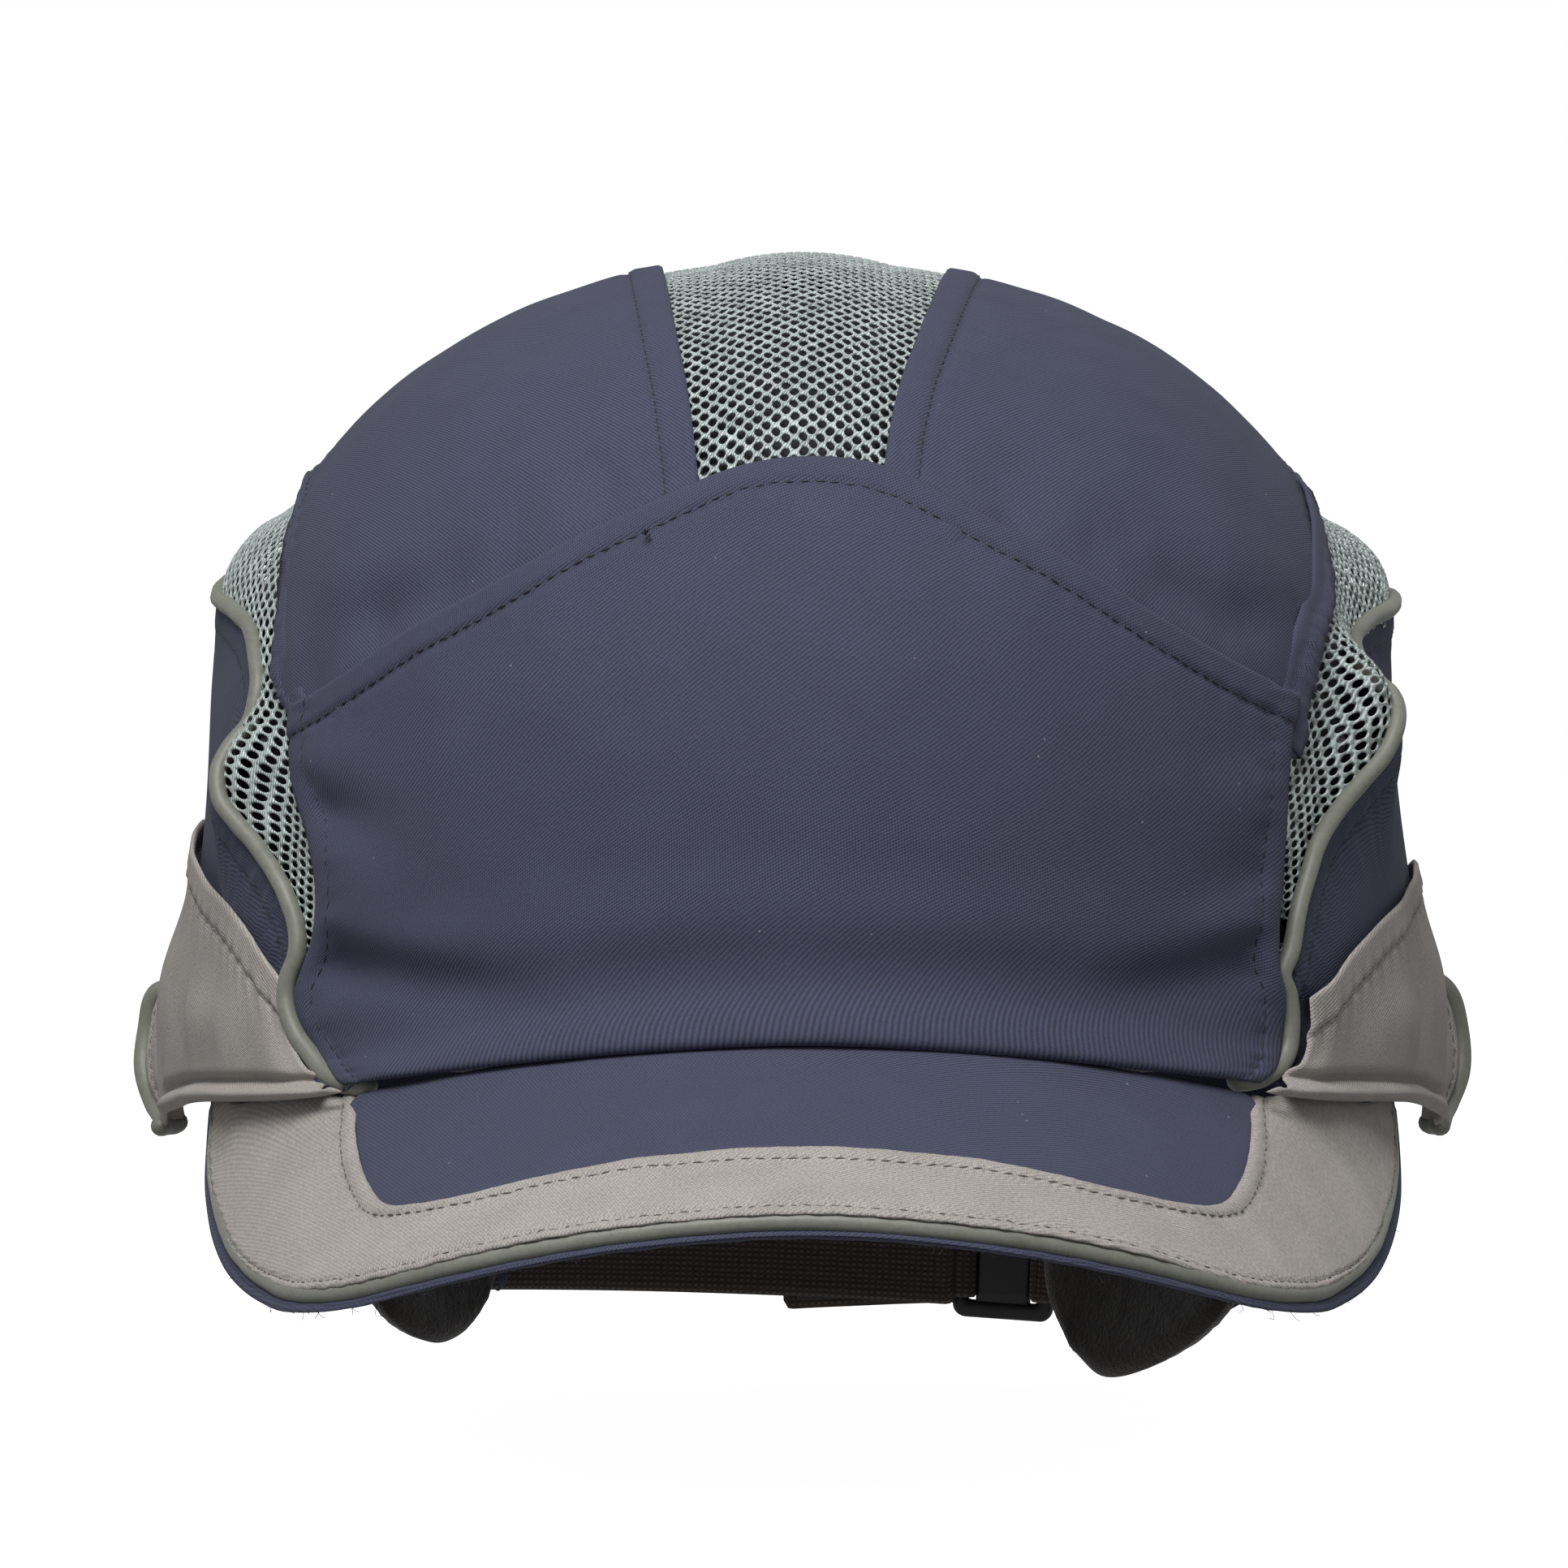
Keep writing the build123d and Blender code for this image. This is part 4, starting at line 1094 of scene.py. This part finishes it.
def peak_pieces():
    seam = [(x, seam_y(x)) for x in np.linspace(-66.5, 66.5, 25)]
    inner, outer = mirrored(BORDER_EDGE), mirrored(PEAK_EDGE)
    wing = [(x, seam_y(x)) for x in np.linspace(67.3, 90, 8)][:-1]
    flat = coons(
        curve(inner), curve(outer),
        curve([(-x, y) for x, y in wing] + [outer[0]]), curve(wing + [outer[-1]]),
        marks(330, 0.8, 0.9, 400), marks(24, 0.5, 1.0, 6),
    )
    border = peak_cloth(flat, 0.0)
    lift_wings(border)
    border.push(0.25 * wobble(border.p, 45, 81) + 0.12 * wobble(border.p, 12, 82))
    border.push(border.hem("bottom", 3.6, 0.5, 0.3, 0.12, 83) + border.hem("top", 2.4, -0.1, 0.3, 0.12, 84))
    border.panel("peak_top_border", "grey")
    grey_stitches.run(border.line("bottom", 3.6), seed=85)
    grey_stitches.run(border.line("top", 2.4), pitch=2.0, length=1.4, seed=86)

    # The centre runs a little way under the border.
    under = [tuple(np.array(p) * 1.035) for p in inner]
    flat = coons(
        curve(seam), curve(under), curve([seam[0], under[0]], False), curve([seam[-1], under[-1]], False),
        marks(150, 1.0, 1.6, 10), marks(40, 0.8, 1.4, 6),
    )
    centre = peak_cloth(flat, 0.55)
    centre.push(0.2 * wobble(centre.p, 50, 87) + 1.1 * bell(centre.bottom, 5.0))
    centre.panel("peak_top_centre", thickness=0.8)

    seam = [(x, seam_y(x)) for x in np.linspace(-89.5, 89.5, 41)]
    flat = coons(
        curve(seam), curve(outer), curve([seam[0], outer[0]], False), curve([seam[-1], outer[-1]], False),
        marks(300, 1.2, 2.2, 10), marks(50, 0.9, 2.0, 6),
    )
    lining = peak_cloth(flat, 4.0, up=900)
    lift_wings(lining)
    lining.push(0.15 * wobble(lining.p, 40, 91))
    lining.panel("peak_lining", thickness=0.6)
    for gap in (6, 14, 22):
        navy_stitches.run(lining.line("top", gap), seed=92)


def peak_trims():
    """Piping and binding round the peak's edge, and the threads that fray from the binding."""
    route = curve(mirrored(PEAK_EDGE))(np.linspace(0, 1, 700))
    way = np.gradient(route, axis=0)
    inward = unit(np.stack([way[:, 1], -way[:, 0]], -1))
    inward *= np.sign(np.sum(inward * (np.array([0, -60]) - route), axis=1))[:, None]
    down = np.tile([0.0, 0.0, 1.0], (len(route), 1))
    run = lengths(route)
    rise = WING_RISE * bell(np.minimum(run, run[-1] - run), WING_REACH)[:, None] * [0, 0, 1]
    top = peak(route, 0)
    trim = rise + peak(route + 1.2 * inward, 2.4) + 0.07 * wobble_all_ways(top, 15, 93)
    tube("peak_piping", trim, 2.3, 2.6, "piping", down, 16)
    trim = rise + peak(route + 1.3 * inward, 4.2) + 0.09 * wobble_all_ways(top, 6, 96)
    tube("peak_binding", trim, 2.2, 1.4, "navy", down, 12)

    fray = Stitching()
    dice = np.random.default_rng(99)
    for _ in range(90):
        at = trim[int(dice.uniform(0.1, 0.9) * len(trim))]
        start = at + [dice.normal() * 0.3, -0.2, -0.6]
        way = np.array([dice.normal(), dice.normal() * 0.6, -abs(dice.normal()) * 0.6 - 0.3])
        way *= dice.uniform(0.8, 2.4) / np.linalg.norm(way)
        bend = dice.normal(size=3) * 0.5
        hair = curve([start, start + way * 0.5 + bend, start + way])(np.linspace(0, 1, 7))
        fray.thread(hair, 0.1, 0.1, sides=4)
    fray.piece("frayed_threads", "navy", "navy_twill")


# ---------------------------------------------------------------- pads and lining
def pillow(node, surface, thickness, material, rough=0.0, edge=4.0):
    """Closed pad, full in the middle and rounded in at its edges, that stands for the CAD
    node of its name. Its outer face is the surface given; it fills the space inside that."""
    cloth = Cloth(surface, (0, 0, 20))
    full = np.sqrt(1 - (1 - np.clip(cloth.from_edge() / edge, 0, 1)) ** 2)
    bumpy = rough * (wobble(cloth.p, 1.7, 101, 2) + 0.5 * wobble(cloth.p, 9, 102)) * full
    middle = cloth.p - cloth.n * (thickness / 2)
    reach = cloth.n * (thickness / 2 * np.maximum(full, 0.04) + bumpy)[..., None]
    thing = slab(node, middle + reach, middle - reach, material, cloth.uv)
    place(thing, material, node)
    return cloth


def rounded_patch(centre, half, corner=0.86, count=40):
    """Grid that fills a rounded rectangle: a square grid drawn in at its corners."""
    s = np.linspace(-1, 1, count)
    u, v = np.meshgrid(s, s, indexing="ij")
    pull = 1 - (1 - corner) * (u**4) * (v**4)
    return np.stack([centre[0] + half[0] * u * pull, centre[1] + half[1] * v * pull], -1)


# Inner side, lower tip, top and outer side of each pad, seen from behind.
PAD_EDGES = {
    1: (
        ((44, -23), (43.7, -38), (44, -54), (48.6, -63)),
        ((48.6, -63), (54, -67), (62, -65), (73, -56.5), (79.5, -44)),
        ((44, -23), (56, -22.5), (68, -22.5), (81, -24)),
        ((81, -24), (81.8, -31), (81, -38), (79.5, -44)),
    ),
    -1: (
        ((50.5, -23), (51.5, -36), (53, -46), (56.5, -55)),
        ((56.5, -55), (60, -59.5), (65, -61), (72, -57), (79, -45)),
        ((50.5, -23), (58, -22.5), (68, -22.5), (81, -24)),
        ((81, -24), (81.8, -31), (80.5, -38), (79, -45)),
    ),
}


def rear_pad(side, label):
    """Padded end of the cap behind the ear, lined in terry."""
    inner, tip, top, outer = PAD_EDGES[side]
    edges = (inner[::-1], outer[::-1], tip, top)
    spots = np.linspace(0, 1, 46)
    flat = coons(*(curve(band_places_behind(edge)) for edge in edges), spots, spots)
    pillow(f"rear_pad_{label}", band(flat, PAD_OFF, side), 5.2, "terry", rough=0.22, edge=5)


def comfort_pads():
    """Foam pads inside the shell: four round it and a cross over the top."""
    for label, back, centre, half in (("front", 1, (0, 47), (44, 15)), ("rear", -1, (0, 49), (38, 13))):
        surface = crown_front(rounded_patch(centre, half), LINING_OFF, back)
        pillow(f"comfort_pad_{label}", surface, 5.2, "foam")
    for label, side in (("left", 1), ("right", -1)):
        surface = crown_side(rounded_patch((0, 47), (36, 15)), LINING_OFF, side)
        pillow(f"comfort_pad_{label}", surface, 5.2, "foam")

    # The crown pad is a cross: narrow along the head, wide where its arms are.
    s = np.linspace(-1, 1, 61)
    u, v = np.meshgrid(s, s, indexing="ij")
    across = ease((0.42 - np.abs(v)) / 0.2)
    x = 13 * u * (1 - across) + 42 * u * across
    surface = crown_turn(x, np.degrees(np.arctan2(HEIGHT - 6, -55 * v)), LINING_OFF)
    surface[..., 0] = x
    pillow("comfort_pad_crown", surface, 5.0, "foam")


def sweatband():
    """Terry band round the head, its foam strip, and the care label behind it."""
    ends = math.degrees(math.asin(50 / (HALF_LENGTH - 3)))
    turns = np.radians(np.linspace(-180 - ends, ends, 300))
    t, z = np.meshgrid(turns, np.linspace(-8, 26, 34), indexing="ij")
    scale = np.sqrt(1 - crown_height(z, LINING_OFF))
    x = (HALF_WIDTH + LINING_OFF) * scale * np.cos(t)
    surface = np.stack([x, (HALF_LENGTH + LINING_OFF) * scale * np.sin(t), z], -1)
    cloth = pillow("sweatband", surface, 2.2, "terry", rough=0.12, edge=3)
    points, normals = cloth.line("top", 4)
    grey_stitches.run((points - normals * 2.1, -normals), seed=111)
    strip = surface * [1.024, 1.024, 1]
    strip[..., 2] = -7 + (z + 8) * 12 / 34
    pillow("sweatband_foam", strip, 1.8, "foam", edge=2)

    label = Cloth(crown_front(rounded_patch((-58, 12), (11.5, 14.5), 0.97), LINING_OFF, -1), (0, 0, 20))
    label.panel("care_label", "label", 0.4)
    points, normals = label.line("top", 2)
    grey_stitches.run((points - normals * 0.45, -normals), seed=113)


def rear_binding():
    arch = [(50, z) for z in np.linspace(ARCH_FOOT[1], ARCH_Z, 24)[:-1]]
    arch += [(50 * math.cos(a), ARCH_Z + 50 * math.sin(a)) for a in np.radians(np.linspace(0, 180, 90))]
    arch += [(-50, z) for z in np.linspace(ARCH_Z, ARCH_FOOT[-1], 24)[1:]]
    x, z = np.array(arch).T
    half_width, centre, _, rear = band_shape(z)
    reach = (rear - centre) * np.sqrt(np.clip(1 - (x / half_width) ** 2, 0, 1))
    outward = np.stack([x / half_width**2, reach / (rear - centre) ** 2, 0 * x], -1)
    tube("rear_opening_binding", np.stack([x, centre + reach - 0.4, z], -1), 3.0, 3.8, "navy", outward, 14)


# ---------------------------------------------------------------- adjuster
# The strap lies on a tilted circle behind the head. The ring's two bars stand on that
# circle: the strap folds round one, the tab holds the other.
STRAP_CENTRE = (0, 27.6, -42.5)
STRAP_TILT = math.radians(2.5)
STRAP_CORNER = 1.5
BAR_RADIUS = 86.8
FOLD_ANGLE, TAB_ANGLE = 17.9, 28.3


def strap_point(radius, angle, height):
    """Point on the strap's circle, its angle in degrees from straight back."""
    a = np.radians(angle)
    x, y = radius * np.sin(a), radius * np.cos(a)
    c, s = math.cos(STRAP_TILT), math.sin(STRAP_TILT)
    return np.stack([c * x + s * height, y + 0 * height, c * height - s * x], -1) + STRAP_CENTRE


def strap_axes(angle):
    """Directions along the strap's circle and up its width, at an angle."""
    ahead, behind = strap_point(BAR_RADIUS, angle + 0.1, 0.0), strap_point(BAR_RADIUS, angle - 0.1, 0.0)
    return unit(ahead - behind), strap_point(BAR_RADIUS, angle, 1.0) - strap_point(BAR_RADIUS, angle, 0.0)


def strap(node, radii, start, end, width, material="webbing", body="cap", wave=0.0, slant=0.0):
    """Flat webbing along the strap's circle, with rounded corners and selvedges."""
    middle, thick = (radii[0] + radii[1]) / 2, radii[1] - radii[0]
    length = math.radians(end - start) * middle
    along = np.linspace(0, 1, max(int(length / 0.8), 12))
    across = np.linspace(-1, 1, max(int(width / 0.8), 12))
    a, w = np.meshgrid(along, across, indexing="ij")
    cut = np.maximum(STRAP_CORNER - np.minimum(a, 1 - a) * length, 0)
    narrowing = STRAP_CORNER - np.sqrt(STRAP_CORNER**2 - cut**2)
    height = w * (width / 2 - narrowing) + slant * (2 * a - 1)
    radius = middle + wave * np.sin(a * length * 0.55) * w**2 + thick / 2
    cloth = Cloth(strap_point(radius, start + a * (end - start), height), strap_point(0, 0, 0))
    cloth.uv = np.stack([a * length, w * width / 2], -1)
    cloth.push(-0.12 * bell(cloth.bottom - 1.6, 0.4) - 0.12 * bell(cloth.top - 1.6, 0.4))
    cloth.panel(node, material, thick, body)


def turn_round(node, bar_angle, side, body, legs=()):
    """Webbing bent round a bar of the ring. legs are the angles at which its inner and
    outer ends stop, where it runs on past the bar."""
    bar = strap_point(BAR_RADIUS, bar_angle, 0.0)
    tangent, up = strap_axes(bar_angle)
    outward = np.cross(up, tangent)
    outward *= np.sign(outward @ (bar - strap_point(0, 0, 0.0)))
    bend = 2.4
    beside = bar_angle + side * 0.3
    path = [strap_point(BAR_RADIUS - bend, a, 0.0) for leg in legs[:1] for a in np.linspace(leg, beside, 14)]
    for t in np.radians(np.linspace(-90, 90, 17)):
        path.append(bar + bend * (tangent * side * math.cos(t) + outward * math.sin(t)))
    path += [strap_point(BAR_RADIUS + bend, a, 0.0) for leg in legs[1:] for a in np.linspace(beside, leg, 8)]
    path = np.array(path)
    across = np.linspace(-11.2, 11.2, 30)
    cloth = Cloth(path[:, None] + across[None, :, None] * up, bar)
    normal = np.cross(unit(np.gradient(path, axis=0)), up)
    if np.sum(normal[len(path) // 2] * (path[len(path) // 2] - bar)) < 0:
        normal = -normal
    cloth.n = np.repeat(normal[:, None], len(across), axis=1)
    cloth.p = cloth.p + cloth.n * 0.7
    cloth.panel(node, "webbing", 1.4, body)


def ring_buckle():
    """Rounded rectangular ring, its bars full and smooth, round a thin web."""
    half_span = math.radians(TAB_ANGLE - FOLD_ANGLE) / 2
    middle_angle = (TAB_ANGLE + FOLD_ANGLE) / 2
    centre = strap_point(BAR_RADIUS * math.cos(half_span), middle_angle, 0.0)
    tangent, up = strap_axes(middle_angle)
    outward = np.cross(tangent, up)
    half_x, half_z, corner = BAR_RADIUS * math.sin(half_span), 13.0, 1.8
    path = []
    for sx, sz, turn in ((1, 1, 0), (-1, 1, 90), (-1, -1, 180), (1, -1, 270)):
        for a in np.radians(np.linspace(turn, turn + 90, 7)):
            x = sx * (half_x - corner) + corner * math.cos(a)
            z = sz * (half_z - corner) + corner * math.sin(a)
            path.append(centre + tangent * x + up * z)
    path = np.array(path)
    radial = path - path.mean(axis=0)
    radial = unit(radial - outward * (radial @ outward)[:, None])
    sides, count = 12, len(path)
    a = np.arange(sides) * 2 * math.pi / sides
    out, face = (reach * np.sign(f) * np.abs(f) ** 0.6 for reach, f in ((1.65, np.cos(a)), (0.9, np.sin(a))))
    points = path[:, None] + radial[:, None] * out[None, :, None] + outward * face[None, :, None]
    i, k = np.meshgrid(np.arange(count), np.arange(sides), indexing="ij")
    here, there = i * sides, (i + 1) % count * sides
    after = (k + 1) % sides
    bars = np.stack([here + k, here + after, there + after, there + k], -1).reshape(-1, 4)

    size = 12
    web = rounded_patch((0, 0), (half_x - 3.15, half_z - 0.6), 0.97, size).reshape(-1, 2)
    faces = [centre + tangent * web[:, :1] + up * web[:, 1:] + outward * half for half in (0.7, -0.7)]
    points = np.vstack([points.reshape(-1, 3), *faces])
    thing = build("buckle_ring", points, np.vstack([bars, slab_faces(size, size) + count * sides]), "ring")
    place(thing, "ring", "buckle_ring", body="ring")


def adjuster():
    strap("strap_run", (83.7, 85.1), -42, FOLD_ANGLE, 25)
    strap("loop_patch", (85.2, 86.0), -26, 11, 24, "pile")
    strap("strap_lap", (88.5, 89.9), 4, FOLD_ANGLE, 25, body="strap_end")
    strap("strap_tail", (87.1, 88.2), -1.6, 16.4, 27.4, body="tail", wave=0.15, slant=1.3)
    strap("hook_patch", (86.3, 87.0), -0.6, 13, 25, "pile", "tail", slant=0.9)
    turn_round("strap_turn", FOLD_ANGLE, 1, "ring")
    turn_round("ring_tab", TAB_ANGLE, -1, "cap", (42, 31.3))
    ring_buckle()
    tacks = Stitching()
    count = 60
    zigzag = 0.35 * np.where(np.arange(count) % 2, 1, -1)
    for radius, angle in ((89.95, 30.2), (89.95, 29.6), (85.15, -30.4), (85.15, -31.0)):
        tacks.thread(strap_point(radius + 0.15, angle + zigzag, np.linspace(-10, 10, count)), 0.45, 0.4)
    tacks.piece("bartacks", "dark_thread", "black_webbing", "bartacks")


# ---------------------------------------------------------------- stage, light and camera
FLOOR_REACH = 4000
# The floor's own light brings it close to the white behind it.
FLOOR_GLOW = 0.97
AMBIENT = 0.3


def stage():
    floor_z = cad_low[2] / MM - 0.5
    corners = [(x * FLOOR_REACH, y * FLOOR_REACH, floor_z) for x, y in ((-1, -1), (1, -1), (1, 1), (-1, 1))]
    MATERIALS["floor"] = moulded("pale_floor", (0.3, 0.3, 0.3), 0.9)
    shader = MATERIALS["floor"].node_tree.nodes["Principled BSDF"]
    shader.inputs["Emission Color"].default_value = (1, 1, 1, 1)
    shader.inputs["Emission Strength"].default_value = FLOOR_GLOW
    floor = build("floor", corners, [(0, 1, 2, 3)], "floor", face_out=False)
    floor.visible_diffuse = floor.visible_glossy = False


def studio():
    """One broad soft light from above and in front, and a faint light all round."""
    world = bpy.data.worlds.new("studio")
    bpy.context.scene.world = world
    world.use_nodes = True
    tree = Tree(world.node_tree)
    seen = tree.add("ShaderNodeLightPath", "Is Camera Ray", {})
    background = tree.nodes["Background"]
    strength = tree.calc("ADD", tree.calc("MULTIPLY", seen, 1 - AMBIENT), AMBIENT)
    tree.fill(background.inputs["Strength"], strength)
    background.inputs["Color"].default_value = (1, 1, 1, 1)
    lamp = bpy.data.lights.new("key", "AREA")
    lamp.shape = "RECTANGLE"
    lamp.size, lamp.size_y = 1.2, 0.9
    lamp.energy = 43
    thing = bpy.data.objects.new("key", lamp)
    thing.location = Vector((-0.3, -1.2, 1.62))
    thing.rotation_euler = (Vector((0, 0, 0.03)) - thing.location).to_track_quat("-Z", "Y").to_euler()
    bpy.context.collection.objects.link(thing)
    bpy.context.scene.view_settings.view_transform = "Standard"


def camera():
    """Level with the cap and a little above it, far off, as a catalogue picture is taken."""
    distance, rise = 2.0, math.radians(1.5)
    target = Vector((-0.0029, 0, 0.033))
    back = Vector((0, -math.cos(rise), math.sin(rise)))
    data = bpy.data.cameras.new("camera")
    data.sensor_width = 36
    data.lens = 292.5
    data.clip_start, data.clip_end = 0.1, 20
    thing = bpy.data.objects.new("camera", data)
    thing.location = target + back * distance
    thing.rotation_euler = (-back).to_track_quat("-Z", "Y").to_euler()
    bpy.context.collection.objects.link(thing)
    bpy.context.scene.camera = thing


def cad_finishes():
    """The moulded CAD parts keep their own meshes and take a finish here."""
    for node, material in (("protective_shell", "shell"), ("peak_board", "board")):
        thing = bpy.data.objects[node]
        thing.data.materials.clear()
        thing.data.materials.append(MATERIALS[material])


camera()
studio()
stage()
cad_finishes()
front_panel()
rear_panel()
crown_mesh()
for side_sign, side_label in ((1, "left"), (-1, "right")):
    crown_panel(side_sign, side_label)
    side_net(side_sign, side_label)
    side_piece(side_sign, side_label)
    grey_piece(side_sign, side_label)
    rear_pad(side_sign, side_label)
peak_pieces()
peak_trims()
comfort_pads()
sweatband()
rear_binding()
adjuster()
navy_stitches.piece("navy_stitches", "dark_thread", "navy_twill")
grey_stitches.piece("grey_stitches", "grey_thread", "grey_twill")
light_stitches.piece("light_stitches", "light_thread", "grey_twill")
